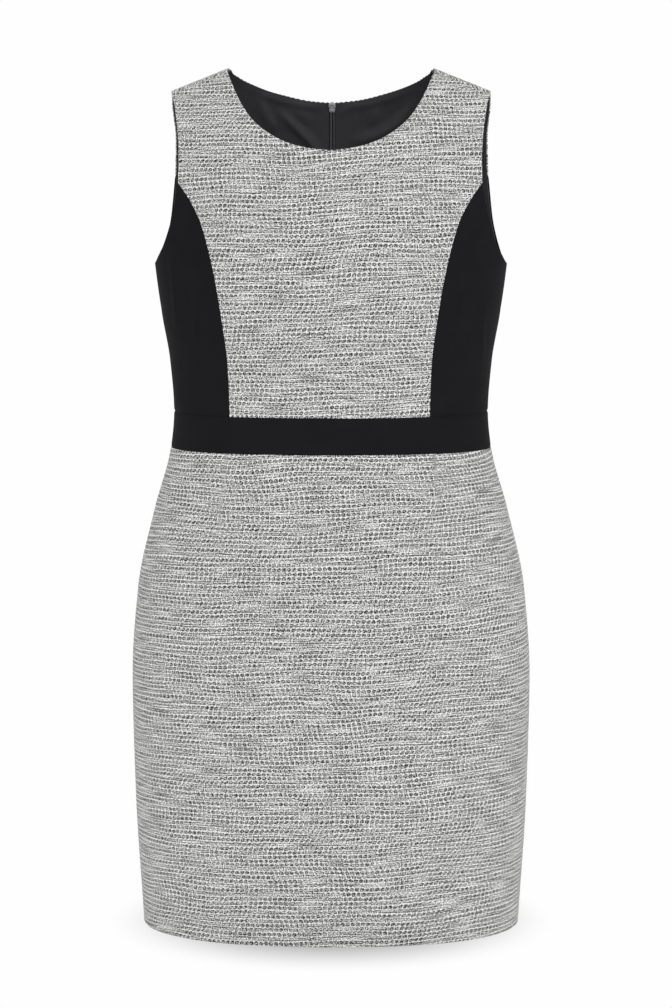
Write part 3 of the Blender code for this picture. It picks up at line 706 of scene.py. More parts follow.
def side_edges(grid):
    """A side panel's borders: free at the armhole, and seamed on the other three sides."""
    rows, columns = grid.shape[:2]
    ends = (("bottom", columns), ("inner", rows), ("outer", rows))
    seams = [(side, 0, end, "seam", CREPE_SEAM, 0) for side, end in ends]
    return [seams[0], ("top", 0, columns, "free", 0, 0), *seams[1:]]


front_side_grid = side_grid(FRONT_ARMHOLE_TOP, FRONT_ARMHOLE_BOTTOM, FRONT_PRINCESS)
# distance from the centre line, height: soft creases, then their width and depth
LEFT_SIDE_FOLDS = (
    (((0.1370, -0.1600), (0.1300, -0.1950), (0.1350, -0.2250), (0.1280, -0.2650)), 0.0036, -0.0017),
    (((0.1600, -0.2250), (0.1570, -0.2600), (0.1580, -0.2950)), 0.0045, -0.0014),
)
RIGHT_SIDE_FOLDS = (
    (((-0.1640, -0.1700), (-0.1610, -0.2100), (-0.1580, -0.2600)), 0.0040, -0.0015),
    (((-0.1400, -0.2000), (-0.1370, -0.2350), (-0.1390, -0.2750)), 0.0036, -0.0014),
)
crepe_side = (black_crepe, "crepe", (0.125, 0.245), 0.0234)
add_both(
    "front_side",
    front_side_grid,
    CREPE_THICKNESS,
    side_edges(front_side_grid),
    crepe_side,
    folds=(LEFT_SIDE_FOLDS, RIGHT_SIDE_FOLDS),
    depth=CREPE_DEPTH,
)


# ---- front waistband ----
# A straight band between the bodice and the skirt, in the same black crepe as the side panels.
# It is seamed to both along its edges, and to the back waistband at the sides.

WAISTBAND_BOTTOM_Z = -0.3815


def band_grid(start_angle, end_angle, top, bottom, girth, spacing):
    """A piece between two level seams, from its lower edge up."""
    across = places(((1, girth, spacing),))
    up = places(((1, top - bottom, spacing),))
    levels = float(level_at(0, bottom)) + (float(level_at(0, top)) - float(level_at(0, bottom))) * up
    angles = start_angle + (end_angle - start_angle) * across
    return np.stack(np.meshgrid(angles, levels), axis=-1)


def edges_all_round(grid, kinds, reach, bumps):
    """The four whole borders of a grid: bottom, top, inner and outer."""
    rows, columns = grid.shape[:2]
    ends = {"bottom": columns, "top": columns, "inner": rows, "outer": rows}
    return [
        (side, 0, ends[side], kind, reach, bump) for side, kind, bump in zip(ends, kinds, bumps)
    ]


grid = band_grid(-SIDE, SIDE, WAISTBAND_TOP_Z, WAISTBAND_BOTTOM_Z, 0.450, GRID_SPACING)
edges = edges_all_round(grid, ("seam",) * 4, CREPE_SEAM, (0,) * 4)
front_waistband = cloth("front_waistband_cloth", grid, CREPE_THICKNESS, edges, CREPE_DEPTH)
finish_cloth(front_waistband, black_crepe, "front_waistband")


# ---- front skirt ----
# The tweed skirt front, cut in one piece, with a dart on each side below the waistband.
# It is seamed to the back at the sides, and turned up at the hem.

# distance from the centre line, height: each dart's line down to its tip
FRONT_DART = ((0.1070, WAISTBAND_BOTTOM_Z), (0.1120, -0.4300), (0.1180, -0.4800))
BACK_DART = ((0.0920, WAISTBAND_BOTTOM_Z), (0.0960, -0.4400), (0.1000, -0.5000))
DART_TAKE_UP = 0.020
DART_WIDTH = 0.0022
DART_DEPTH = 0.0012


def take_up_darts(piece, grid, dart):
    """Moves the weave outside each dart by the cloth that the dart takes up."""
    points = surface(grid[..., 0], grid[..., 1])
    across, height = np.abs(points[..., 0]), points[..., 2]
    heights = [row[1] for row in dart][::-1]
    line = np.interp(height, heights, [row[0] for row in dart][::-1])
    taken = DART_TAKE_UP * np.clip((height - heights[0]) / (heights[-1] - heights[0]), 0, 1)
    beyond = np.clip((across - line) / DART_WIDTH + 0.5, 0, 1)
    shift = np.sign(points[..., 0]) * taken * beyond
    layer = piece.data.uv_layers["grain"].uv
    flat = np.empty(len(layer) * 2, np.float32)
    layer.foreach_get("vector", flat)
    corners = np.empty(len(layer), np.int32)
    piece.data.loops.foreach_get("vertex_index", corners)
    flat = flat.reshape(-1, 2)
    flat[:, 0] += np.tile(shift.ravel(), 2)[corners]
    layer.foreach_set("vector", flat.ravel())


grid = band_grid(-SIDE, SIDE, WAISTBAND_BOTTOM_Z, HEM_Z, 0.530, GRID_SPACING)
skirt_bumps = (TWEED_BUMPS, TWEED_BUMPS, 0, 0)
edges = edges_all_round(grid, ("free", "seam", "seam", "seam"), TWEED_SEAM, skirt_bumps)
dart_folds = [
    ([(side * x, z) for x, z in FRONT_DART], DART_WIDTH, DART_DEPTH) for side in (1, -1)
]
front_skirt = cloth(
    "front_skirt_cloth", grid, TWEED_THICKNESS, edges, folds=dart_folds, shift=(0.0011, 0.0023)
)
take_up_darts(front_skirt, grid, FRONT_DART)
finish_cloth(front_skirt, boucle_tweed, "front_skirt")


# ---- back bodice ----
# Two tweed panels that meet at the centre back zip, carried a little over the shoulders, where
# they are seamed to the front. At the neck they leave a small V for the zip's slider.

CENTRE_BACK = math.pi
BACK_NECKLINE = (
    (0.0000, -0.0206),
    (0.0309, -0.0181),
    (0.0646, -0.0098),
    (0.0895, -0.0001),
    (0.0982, 0.0049),
    (0.1060, 0.0108),
)
BACK_ARMHOLE_TOP = ((0.1672, -0.025), (0.1650, -0.056), (0.1655, -0.079), (0.1664, -0.097))
BACK_PRINCESS = (
    (0.1480, -0.118),
    (0.1330, -0.148),
    (0.1215, -0.185),
    (0.1090, -0.240),
    (0.0990, -0.295),
    (0.0950, WAISTBAND_TOP_Z),
)
BACK_NECK_BUMPS = 0.0012
CENTRE_SEAM = 0.0011  # how far the edges sink at the zip
NOTCH_HALF_WIDTH = 0.0060
NOTCH_LENGTH = 0.013
NOTCH_CURVE = 0.6  # below 1 the V closes fastest at the neck
NOTCH_SPREAD = 0.25  # the share of the panel's width that is drawn aside with it
CENTRE_GAP = 0.0002


def open_notch(grid, half_width, lower_half_width=CENTRE_GAP):
    """Draws a back panel's centre edge away from the zip, most at the neck."""
    height = surface(grid[:, 0, 0], grid[:, 0, 1])[:, 2]
    fall = np.clip((BACK_NECKLINE[0][1] - height) / NOTCH_LENGTH, 0, 1)
    gap = half_width + (lower_half_width - half_width) * fall**NOTCH_CURVE
    away = np.clip(np.linspace(0, 1 / NOTCH_SPREAD, grid.shape[1]), 0, 1) ** 0.5
    radius = section(np.abs(grid[..., 1]))[..., 0]
    sine = np.clip(np.sin(grid[..., 0]), 0, 1) ** (2 / ROUNDNESS)
    moved = np.clip(sine + (gap[:, None] / radius) * (1 - away), 0, 1)
    opened = grid.copy()
    opened[..., 0] = math.pi - np.arcsin(moved ** (ROUNDNESS / 2))
    return opened


back_half, neck_columns, princess_rows = bodice_grid(
    BACK_NECKLINE, BACK_ARMHOLE_TOP, BACK_PRINCESS, back=True
)
columns = back_half.shape[1]
rows = len(back_half)
back_bodice_edges = [
    ("bottom", 0, columns, "seam", TWEED_SEAM, TWEED_BUMPS),
    ("top", 0, neck_columns, "free", 0, BACK_NECK_BUMPS),
    ("top", neck_columns - 1, columns, "seam", SHOULDER_SEAM, 0),
    ("outer", 0, princess_rows, "seam", TWEED_SEAM, TWEED_BUMPS),
    ("outer", princess_rows - 1, rows, "free", 0, TWEED_BUMPS),
    ("inner", 0, rows, "seam", CENTRE_SEAM, 0),
]
tweed_back = (boucle_tweed, "tweed", (0.185, 0.390), 0.0495)
add_both(
    "back_bodice",
    open_notch(back_half, NOTCH_HALF_WIDTH),
    TWEED_THICKNESS,
    back_bodice_edges,
    tweed_back,
    back=True,
    shift=(0.9017, 0.0031),
)


# ---- back side panels ----
# The black crepe panels behind the side seams, cut like the front ones, seamed in along the
# princess line, the side and the waistband, and faced at the armholes.

BACK_ARMHOLE_BOTTOM = ((0.1690, -0.123), (0.1715, -0.145), (0.1765, -0.168), (0.1820, -0.185))

back_side_grid = side_grid(BACK_ARMHOLE_TOP, BACK_ARMHOLE_BOTTOM, BACK_PRINCESS, back=True)
crepe_back_side = (black_crepe, "crepe", (0.125, 0.245), 0.0227)
add_both(
    "back_side",
    back_side_grid,
    CREPE_THICKNESS,
    side_edges(back_side_grid),
    crepe_back_side,
    folds=(LEFT_SIDE_FOLDS, RIGHT_SIDE_FOLDS),
    depth=CREPE_DEPTH,
    back=True,
)


# ---- back waistband ----
# The band's two back halves, in the same black crepe, which meet at the zip. They are seamed to
# the back panels, the back skirt and, at the sides, the front waistband.

grid = band_grid(CENTRE_BACK, SIDE, WAISTBAND_TOP_Z, WAISTBAND_BOTTOM_Z, 0.225, GRID_SPACING)
edges = edges_all_round(grid, ("seam",) * 4, CREPE_SEAM, (0,) * 4)
crepe_band = (black_crepe, "crepe", (0.226, 0.040), 0.0086)
add_both("back_waistband", grid, CREPE_THICKNESS, edges, crepe_band, depth=CREPE_DEPTH, back=True)


# ---- back skirt ----
# Two tweed halves with a dart each, closed by the zip above and by a plain seam below it.
# They are seamed to the waistband and at the sides, and turned up at the hem.

grid = band_grid(CENTRE_BACK, SIDE, WAISTBAND_BOTTOM_Z, HEM_Z, 0.270, GRID_SPACING)
edges = edges_all_round(grid, ("free", "seam", "seam", "seam"), TWEED_SEAM, skirt_bumps)
edges[2] = ("inner", 0, len(grid), "seam", CENTRE_SEAM, 0)
left_dart = [(list(BACK_DART), DART_WIDTH, DART_DEPTH)]
right_dart = [([(-x, z) for x, z in BACK_DART], DART_WIDTH, DART_DEPTH)]
tweed_skirt = (boucle_tweed, "tweed", (0.290, 0.510), 0.1362)
add_both(
    "back_skirt",
    grid,
    TWEED_THICKNESS,
    edges,
    tweed_skirt,
    folds=(left_dart, right_dart),
    back=True,
    shift=(0.9029, 0.0007),
)


# ---- back lining ----
# A black acetate satin lining behind the back panels. It shows inside the neck and the armholes,
# where it is turned in at the edge and hangs in a few soft folds.

LINING_THICKNESS = 0.0010
LAYER_GAP = 0.0005
LINING_DEPTH = TWEED_THICKNESS + LAYER_GAP

# Acetate satin: smooth and dark with a soft gloss; its floats run up the cloth, 0.3 mm apart in
# life and drawn at 1 mm so that they show at all.
FLOAT_SPACING = 0.001
FLOAT_LENGTH = 0.012
satin_lining, tree, shader = new_material("satin_lining")
place = add(tree, "TexCoord", output="Object")
floats = add(
    tree, "Mapping", {"Vector": place, "Scale": (1 / FLOAT_SPACING, 1 / FLOAT_SPACING, 1 / FLOAT_LENGTH)}
)
floats = add(tree, "TexNoise", {"Vector": floats, "Scale": 1.0, "Detail": 2.0})
colour = add(
    tree, "Mix", {0: floats, 6: linear("#39393B"), 7: linear("#46464A")}, output=2, data_type="RGBA"
)
roughness = add(tree, "MapRange", {"Value": floats, "To Min": 0.36, "To Max": 0.50})
bump = add(tree, "Bump", {"Strength": 0.15, "Distance": 0.0002, "Height": floats})
fill(
    tree, shader, {"Base Color": colour, "Roughness": roughness, "Normal": bump, "Specular IOR Level": 0.20}
)

# distance from the centre line, height: troughs as seen inside the neck, then their width and depth
LEFT_LINING_FOLDS = (
    (((0.0200, -0.0640), (0.0500, -0.0545), (0.0760, -0.0380), (0.0920, -0.0160)), 0.0070, 0.0060),
    (((0.0060, -0.0330), (0.0130, -0.0300), (0.0230, -0.0265)), 0.0028, 0.0012),
    (((0.0400, -0.0230), (0.0460, -0.0330), (0.0440, -0.0470)), 0.0070, 0.0022),
    (((0.0060, -0.0262), (0.0309, -0.0236), (0.0646, -0.0150), (0.0930, -0.0030)), 0.0032, 0.0020),
    (((0.0120, -0.1100), (0.0400, -0.1300), (0.0560, -0.1700)), 0.0090, 0.0030),
)
RIGHT_LINING_FOLDS = (
    (((-0.0590, -0.0270), (-0.0420, -0.0440), (-0.0200, -0.0680), (-0.0100, -0.0900)), 0.0050, 0.0055),
    (((-0.0790, -0.0110), (-0.0730, -0.0300), (-0.0620, -0.0510)), 0.0060, 0.0050),
    (((-0.0450, -0.0260), (-0.0330, -0.0330), (-0.0220, -0.0440)), 0.0060, 0.0020),
    (((-0.0060, -0.0262), (-0.0309, -0.0236), (-0.0646, -0.0150), (-0.0930, -0.0030)), 0.0032, 0.0020),
    (((-0.0200, -0.1150), (-0.0380, -0.1450), (-0.0640, -0.1600)), 0.0090, 0.0030),
)
LINING_NOTCH_HALF_WIDTH = 0.0060
LINING_GAP = 0.0036  # either side of the zip's middle
LINING_REACH = 0.0013  # how far it is pulled up, to lie level with the tweed's edge
lining_edges = [
    ("top", 0, neck_columns, "free", LINING_REACH, BACK_NECK_BUMPS),
    ("outer", princess_rows - 1, rows, "free", 0, TWEED_BUMPS),
]
lining_back = (satin_lining, "lining", (0.185, 0.390), 0.0480)
add_both(
    "lining_back",
    open_notch(back_half, LINING_NOTCH_HALF_WIDTH, LINING_GAP),
    LINING_THICKNESS,
    lining_edges,
    lining_back,
    folds=(LEFT_LINING_FOLDS, RIGHT_LINING_FOLDS),
    depth=LINING_DEPTH,
    back=True,
)

lining_side = (satin_lining, "lining", (0.125, 0.245), 0.0219)
side_lining_edges = [("top", 0, back_side_grid.shape[1], "free", 0, 0)]
add_both(
    "lining_back_side",
    back_side_grid,
    LINING_THICKNESS,
    side_lining_edges,
    lining_side,
    depth=LINING_DEPTH,
    back=True,
)


# ---- front lining ----
# The same satin behind the front panels, cut to the same neckline and armholes, so that it shows
# only from above and from behind.

front_half, neck_columns, princess_rows = bodice_grid(
    FRONT_NECKLINE, FRONT_ARMHOLE_TOP, FRONT_PRINCESS, spacing=2
)
columns = front_half.shape[1]
rows = len(front_half)
whole = np.concatenate([mirrored(front_half)[:, :-1], front_half], axis=1)
front_lining_edges = [
    ("top", columns - neck_columns, columns + neck_columns - 1, "free", 0, 0),
    ("inner", princess_rows - 1, rows, "free", 0, 0),
    ("outer", princess_rows - 1, rows, "free", 0, 0),
]
# distance from the centre line, height: soft folds across the bust, then their width and depth
FRONT_LINING_FOLDS = (
    (((0.0300, -0.1000), (0.0420, -0.1500), (0.0380, -0.2100)), 0.0100, 0.0022),
    (((-0.0400, -0.1050), (-0.0300, -0.1700), (-0.0440, -0.2300)), 0.0100, 0.0020),
    (((-0.0850, -0.0900), (-0.0800, -0.1500), (-0.0900, -0.2000)), 0.0080, 0.0018),
)
front_lining = cloth(
    "lining_front", whole, LINING_THICKNESS, front_lining_edges, LINING_DEPTH, FRONT_LINING_FOLDS
)
finish_cloth(front_lining, satin_lining, None)

side_lining_edges = [("top", 0, front_side_grid.shape[1], "free", 0, 0)]
lining_front_side = (satin_lining, "lining", (0.125, 0.245), 0.0230)
add_both(
    "lining_front_side",
    front_side_grid,
    LINING_THICKNESS,
    side_lining_edges,
    lining_front_side,
    stands=False,
    depth=LINING_DEPTH,
)


# ---- hem ----
# The skirt's lower edge in front and behind: the same tweed, turned up inside and caught with
# hidden stitches.

HEM_DEPTH = 0.035
HEM_RISE = 0.0008  # the turned cloth's fold, above the skirt's edge
HEM_THICKNESS = 0.0014
HEM_LAYER_DEPTH = TWEED_THICKNESS + 0.0002  # just clear of the skirt

hem_top = HEM_Z + HEM_DEPTH
hem_bottom = HEM_Z + HEM_RISE
hem_kinds = ("free", "free", "seam", "seam")
grid = band_grid(-SIDE, SIDE, hem_top, hem_bottom, 0.530, GRID_SPACING)
edges = edges_all_round(grid, hem_kinds, 0, (0,) * 4)
front_hem = cloth("front_hem", grid, HEM_THICKNESS, edges, HEM_LAYER_DEPTH, shift=(0.5021, 0.0011))
finish_cloth(front_hem, boucle_tweed, None)
grid = band_grid(CENTRE_BACK, SIDE, hem_top, hem_bottom, 0.270, GRID_SPACING)
edges = edges_all_round(grid, hem_kinds, 0, (0,) * 4)
back_hem = (boucle_tweed, "tweed", (0.266, 0.036), 0.0092)
add_both(
    "back_hem",
    grid,
    HEM_THICKNESS,
    edges,
    back_hem,
    stands=False,
    depth=HEM_LAYER_DEPTH,
    back=True,
    shift=(1.4007, 0.0013),
)


# ---- zip ----
# A nylon coil zip at the centre back: two woven tapes between the tweed and the lining, a coil
# sewn along each, and an enamelled slider in a small V at the neck, whose pull hangs outside.

ZIP_TOP_Z = -0.0235
COIL_TOP_Z = -0.0270  # inside the slider
ZIP_BOTTOM_Z = -0.533
TAPE_HALF_WIDTH = 0.0080
TAPE_THICKNESS = 0.0003
TAPE_CLEARANCE = 0.0001
TAPE_DEPTH = TWEED_THICKNESS + CENTRE_SEAM / 2 + TAPE_CLEARANCE  # clear of the tweed's sunk edges
TAPE_ROWS = 168  # of its mesh
TAPE_COLUMNS = 13
COIL_PITCH = 0.0013
COIL_SIDES = 7
COIL_STEPS = 4  # rings of the mesh in one turn of the coil
COIL_SWELL = 0.08  # how much a turn stands out, as a share of the radius
COILS = ((-0.0016, 0.0011), (0.0021, 0.0008))  # across, and radius: one is folded under
SLIDER_RISE = 0.0012  # how far the slider's top stands above the back neckline
SLIDER_TOP_WIDTH = 0.0082
SLIDER_BOTTOM_WIDTH = 0.0062
SLIDER_LENGTH = 0.0110
SLIDER_THICKNESS = 0.0024
SLIDER_BEHIND = 0.0010
SLIDER_TAPER_START = 0.0011
SLIDER_ROUNDING = 0.0011
SLIDER_PLATE_SHARE = 0.97  # of the body's width, on the face that shows inside the neck
PLATE_ROWS = 45
PLATE_COLUMNS = 33
RIM_SHARE = 0.35  # of the plate's thickness, at its rim
CROWN_START = 0.45  # of half the slider's length, from where it narrows to the top
CROWN_NARROWING = 0.72
WAIST_Z = -0.0009  # this and the next places are up from the slider's middle
WAIST_LENGTH = 0.0009
WAIST_NARROWING = 0.12
DIMPLE_Z = 0.0021
DIMPLE_RADIUS = 0.0010
DIMPLE_DEPTH = 0.0009
RING_RADIUS = 0.0019
RING_WIDTH = 0.0006
RING_HEIGHT = 0.0006
PAD_Z = -0.0031
PAD_LENGTH = 0.0011
PAD_WIDTH_SHARE = 0.6
PAD_HEIGHT = 0.0006
GROOVE_Z = -0.0008
GROOVE_WIDTH = 0.0005
GROOVE_DEPTH = 0.0005
LUG_THICKNESS = 0.0012
LUG_HEIGHT = 0.0032
EYE_DROP = 0.0035
EYE_RADIUS = 0.00147
EYE_WIRE_RADIUS = 0.00053
EYE_OUTER_RADIUS = 0.0020
EYE_SIDES = 28
EYE_CLEARANCE = 0.0004
PULL_LENGTH = 0.0200
PULL_TOP_WIDTH = 0.0046
PULL_BOTTOM_WIDTH = 0.0062
PULL_END_SIDES = 16
PULL_THICKNESS = 0.0010
PULL_EDGE = 0.0002
PULL_TOP = 0.0004
PULL_BAR_RADIUS = 0.0006
PULL_WINDOW_HALF_WIDTH = 0.0011
PULL_WINDOW_END = 0.0027

# Woven nylon: a matt black tape with faint ribs across it, drawn 2.6 mm apart, coarser than the
# real ones, so that they show at all.
RIB_SCALE = 120.0  # of the wave texture, for ribs 2.6 mm apart
nylon_tape, tree, shader = new_material("nylon_tape")
place = add(tree, "TexCoord", output="Object")
ribs = add(tree, "TexWave", {"Vector": place, "Scale": RIB_SCALE}, bands_direction="Z")
bump = add(tree, "Bump", {"Strength": 0.4, "Distance": 0.0003, "Height": ribs})
fill(tree, shader, {"Normal": bump, "Base Color": linear("#242427"), "Roughness": 0.7})

# Nylon monofilament: smooth dark plastic with a soft gloss, lighter than the tape, its shade
# changing with every other turn.
nylon_coil, tree, shader = new_material("nylon_coil")
place = add(tree, "TexCoord", output="Object")
turns = add(tree, "TexWave", {"Vector": place, "Scale": RIB_SCALE}, bands_direction="Z")
colour = add(
    tree, "Mix", {0: turns, 6: linear("#4A4A4F"), 7: linear("#5C5C62")}, output=2, data_type="RGBA"
)
fill(tree, shader, {"Base Color": colour, "Roughness": 0.4})

heights = np.linspace(ZIP_BOTTOM_Z, ZIP_TOP_Z, TAPE_ROWS)
widths = np.linspace(-TAPE_HALF_WIDTH, TAPE_HALF_WIDTH, TAPE_COLUMNS)
grid = spot(*np.meshgrid(widths, heights), back=True)
tape = cloth("zip_tapes", grid[:, ::-1], TAPE_THICKNESS, [], TAPE_DEPTH, back=True)
finish_cloth(tape, nylon_tape, "zip_chain")


def ribbed_cord(across, radius):
    """Points of a coil's round outline down the centre back, one ring in each row, and its faces."""
    steps = round((COIL_TOP_Z - ZIP_BOTTOM_Z) / COIL_PITCH) * COIL_STEPS
    heights = np.linspace(ZIP_BOTTOM_Z, COIL_TOP_Z, steps + 1)
    line = spot(np.full(steps + 1, across), heights, back=True)
    out = normal(*line.T)[:, None]
    middle = surface(*line.T)[:, None] - out * (TAPE_DEPTH + TAPE_THICKNESS + radius)
    turns = 2 * math.pi * np.arange(COIL_SIDES) / COIL_SIDES
    waves = 1 + COIL_SWELL * np.cos(2 * math.pi * np.arange(steps + 1) / COIL_STEPS)
    spread = radius * waves[:, None, None]
    sideways = np.array([1.0, 0.0, 0.0])
    ring = np.cos(turns)[None, :, None] * sideways + np.sin(turns)[None, :, None] * out
    index = np.arange((steps + 1) * COIL_SIDES).reshape(steps + 1, COIL_SIDES)
    ahead = np.roll(index, -1, axis=1)
    faces = np.stack([index[:-1], ahead[:-1], ahead[1:], index[1:]], axis=-1).reshape(-1, 4)
    return (middle + spread * ring).reshape(-1, 3), faces, [index[0, ::-1], index[-1]]


def new_piece(name, shape, material, body):
    """Links a mesh or a curve in the material that it is made of, on one of the bodies."""
    made = bpy.data.objects.new(name, shape)
    bpy.context.scene.collection.objects.link(made)
    shape.materials.append(material)
    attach(made, body)
    return made


coil_points = []
coil_faces = []
for across, radius in COILS:
    points, faces, ends = ribbed_cord(across, radius)
    start = sum(len(part) for part in coil_points)
    coil_points.append(points)
    coil_faces += [[int(i) + start for i in face] for face in [*faces, *ends]]
coil_mesh = bpy.data.meshes.new("zip_coils")
coil_mesh.from_pydata(np.concatenate(coil_points), [], coil_faces)
coil_mesh.shade_smooth()
coils = new_piece("zip_coils", coil_mesh, nylon_coil, "dress")
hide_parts("zip_chain")

# Enamelled zinc: a die-cast slider and pull in baked grey enamel, glossy and faintly pitted.
PIT_SPACING = 0.0009
grey_enamel, tree, shader = new_material("grey_enamel")
place = add(tree, "TexCoord", output="Object")
pits = add(tree, "TexNoise", {"Vector": place, "Scale": 1 / PIT_SPACING, "Detail": 2.0})
colour = add(tree, "Mix", {0: pits, 6: linear("#86858C"), 7: linear("#B0AFB6")}, output=2, data_type="RGBA")
bump = add(tree, "Bump", {"Strength": 0.25, "Distance": 0.0001, "Height": pits})
fill(tree, shader, {"Base Color": colour, "Normal": bump, "Roughness": 0.35})


def upright_frame(place, out, up=None):
    """A matrix at a place: X across, Y out of the cloth and Z up along it."""
    across = Vector((1, 0, 0))
    up = across.cross(out) if up is None else up
    turn = Matrix((across, out, up)).transposed().to_4x4()
    return Matrix.Translation(place) @ turn


slider_middle = spot(0.0, BACK_NECKLINE[0][1] + SLIDER_RISE - SLIDER_LENGTH / 2, back=True)
slider_frame = upright_frame(Vector(surface(*slider_middle)), Vector(normal(*slider_middle)))
eye_z = SLIDER_LENGTH / 2 - EYE_DROP
eye_y = EYE_OUTER_RADIUS + EYE_CLEARANCE

# The body's inner plate: rounded at its rim, with a ring round a dimple above and a pad below.
half_length = SLIDER_LENGTH / 2
rise, side = np.meshgrid(np.linspace(-1, 1, PLATE_ROWS), np.linspace(-1, 1, PLATE_COLUMNS), indexing="ij")
up_body = rise * half_length
taper = np.clip((SLIDER_TAPER_START - up_body) / (SLIDER_TAPER_START + half_length), 0, 1)
half_width = (SLIDER_TOP_WIDTH + (SLIDER_BOTTOM_WIDTH - SLIDER_TOP_WIDTH) * taper) / 2
crown = np.clip((up_body / half_length - CROWN_START) / (1 - CROWN_START), 0, 1)
half_width *= SLIDER_PLATE_SHARE * (1 - CROWN_NARROWING * crown**2)
half_width *= 1 - WAIST_NARROWING * bell(up_body - WAIST_Z, WAIST_LENGTH)
across_body = side * half_width
to_rim = np.minimum(half_width * (1 - np.abs(side)), half_length - np.abs(up_body))
rounded = np.sqrt(1 - (1 - np.clip(to_rim / SLIDER_ROUNDING, 0, 1)) ** 2)
from_dimple = np.hypot(across_body, up_body - DIMPLE_Z)
relief = RING_HEIGHT * bell(from_dimple - RING_RADIUS, RING_WIDTH)
relief -= DIMPLE_DEPTH * bell(from_dimple, DIMPLE_RADIUS)
relief += PAD_HEIGHT * bell(up_body - PAD_Z, PAD_LENGTH) * bell(side, PAD_WIDTH_SHARE)
relief -= GROOVE_DEPTH * bell(up_body - GROOVE_Z, GROOVE_WIDTH)
face_y = -(TWEED_THICKNESS + SLIDER_BEHIND)
inner_y = face_y - (SLIDER_THICKNESS + relief) * (RIM_SHARE + (1 - RIM_SHARE) * rounded)
turn = np.array(slider_frame.to_3x3())
origin = np.array(slider_frame.translation)
inner_face = np.stack([across_body, inner_y, up_body], axis=-1) @ turn.T + origin
outer_face = np.stack([across_body, np.full_like(side, face_y), up_body], axis=-1) @ turn.T + origin
slider_body = shell_mesh("zip_slider_body", inner_face, outer_face, np.stack([side, rise], axis=-1), False)
slider_body.data.materials.append(grey_enamel)
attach(slider_body, "dress")
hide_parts("zip_slider")

lug_shape = bmesh.new()
bmesh.ops.create_cube(lug_shape, size=1.0)
lug_length = eye_y - EYE_RADIUS - face_y + SLIDER_THICKNESS / 2
bmesh.ops.scale(lug_shape, vec=(LUG_THICKNESS, lug_length, LUG_HEIGHT), verts=lug_shape.verts)
bmesh.ops.bevel(
    lug_shape, geom=list(lug_shape.edges), offset=LUG_THICKNESS / 3, segments=3, profile=0.5, affect="EDGES"
)
lug_mesh = bpy.data.meshes.new("zip_slider_lug")
lug_shape.to_mesh(lug_mesh)
lug_shape.free()
lug_mesh.shade_smooth()
lug_mesh.transform(slider_frame @ Matrix.Translation((0, eye_y - EYE_RADIUS - lug_length / 2, eye_z)))
lug = new_piece("zip_slider_lug", lug_mesh, grey_enamel, "dress")


def bent_wire(name, points, radius, closed, matrix):
    """A round wire through points, as a curve."""
    wire = bpy.data.curves.new(name, "CURVE")
    wire.dimensions = "3D"
    wire.bevel_depth = radius
    wire.bevel_resolution = 4
    wire.use_fill_caps = True
    line = wire.splines.new("POLY")
    line.points.add(len(points) - 1)
    line.use_cyclic_u = closed
    line.use_smooth = True
    for point, place in zip(line.points, points):
        point.co = (*(matrix @ Vector(place)), 1.0)
    return wire


ring_turns = [2 * math.pi * i / EYE_SIDES for i in range(EYE_SIDES)]
ring_points = [
    (0, eye_y + EYE_RADIUS * math.cos(turn), eye_z + EYE_RADIUS * math.sin(turn)) for turn in ring_turns
]
eye_wire = bent_wire("zip_slider_eye", ring_points, EYE_WIRE_RADIUS, True, slider_frame)
eye = new_piece("zip_slider_eye", eye_wire, grey_enamel, "dress")

# The pull hangs from the eye and leans on the cloth: a drop-shaped tab with a window and a bar.
axis_point = slider_frame @ Vector((0, eye_y, eye_z))
foot = spot(0.0, axis_point.z - PULL_LENGTH, back=True)
stand_off = LAYER_GAP + PULL_THICKNESS / 2
foot = Vector(surface(*foot)) + Vector(normal(*foot)) * stand_off
pull_up = (axis_point - foot).normalized()
pull_frame = upright_frame(axis_point, pull_up.cross(Vector((1, 0, 0))), pull_up)
tab = bpy.data.curves.new("zip_pull_tab", "CURVE")
tab.dimensions = "2D"
tab.fill_mode = "BOTH"
tab.extrude = PULL_THICKNESS / 2 - PULL_EDGE
tab.bevel_depth = PULL_EDGE
tab.bevel_resolution = 3
tab.offset = -PULL_EDGE
end_turns = [math.pi * i / PULL_END_SIDES for i in range(PULL_END_SIDES + 1)]
end_radius = PULL_BOTTOM_WIDTH / 2
round_end = [
    (end_radius * math.cos(turn), -PULL_LENGTH + end_radius * (1 - math.sin(turn))) for turn in end_turns
]
outline = [(-PULL_TOP_WIDTH / 2, PULL_TOP), (-PULL_TOP_WIDTH / 2, -PULL_WINDOW_END)]
outline += round_end[::-1]
outline += [(PULL_TOP_WIDTH / 2, -PULL_WINDOW_END), (PULL_TOP_WIDTH / 2, PULL_TOP)]
outline += [
    (PULL_WINDOW_HALF_WIDTH, PULL_TOP),
    (PULL_WINDOW_HALF_WIDTH, -PULL_WINDOW_END),
    (-PULL_WINDOW_HALF_WIDTH, -PULL_WINDOW_END),
    (-PULL_WINDOW_HALF_WIDTH, PULL_TOP),
]
line = tab.splines.new("POLY")
line.points.add(len(outline) - 1)
line.use_cyclic_u = True
for point, (across, up) in zip(line.points, outline):
    point.co = (across, up, 0.0, 1.0)
pull_tab = new_piece("zip_pull_tab", tab, grey_enamel, "zip_pull")
pull_tab.matrix_world = pull_frame @ Matrix.Rotation(math.pi / 2, 4, "X")
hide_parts("zip_pull")
bar_half = PULL_TOP_WIDTH / 2 - PULL_EDGE
bar_wire = bent_wire(
    "zip_pull_bar", [(-bar_half, 0, 0), (bar_half, 0, 0)], PULL_BAR_RADIUS, False, pull_frame
)
bar = new_piece("zip_pull_bar", bar_wire, grey_enamel, "zip_pull")
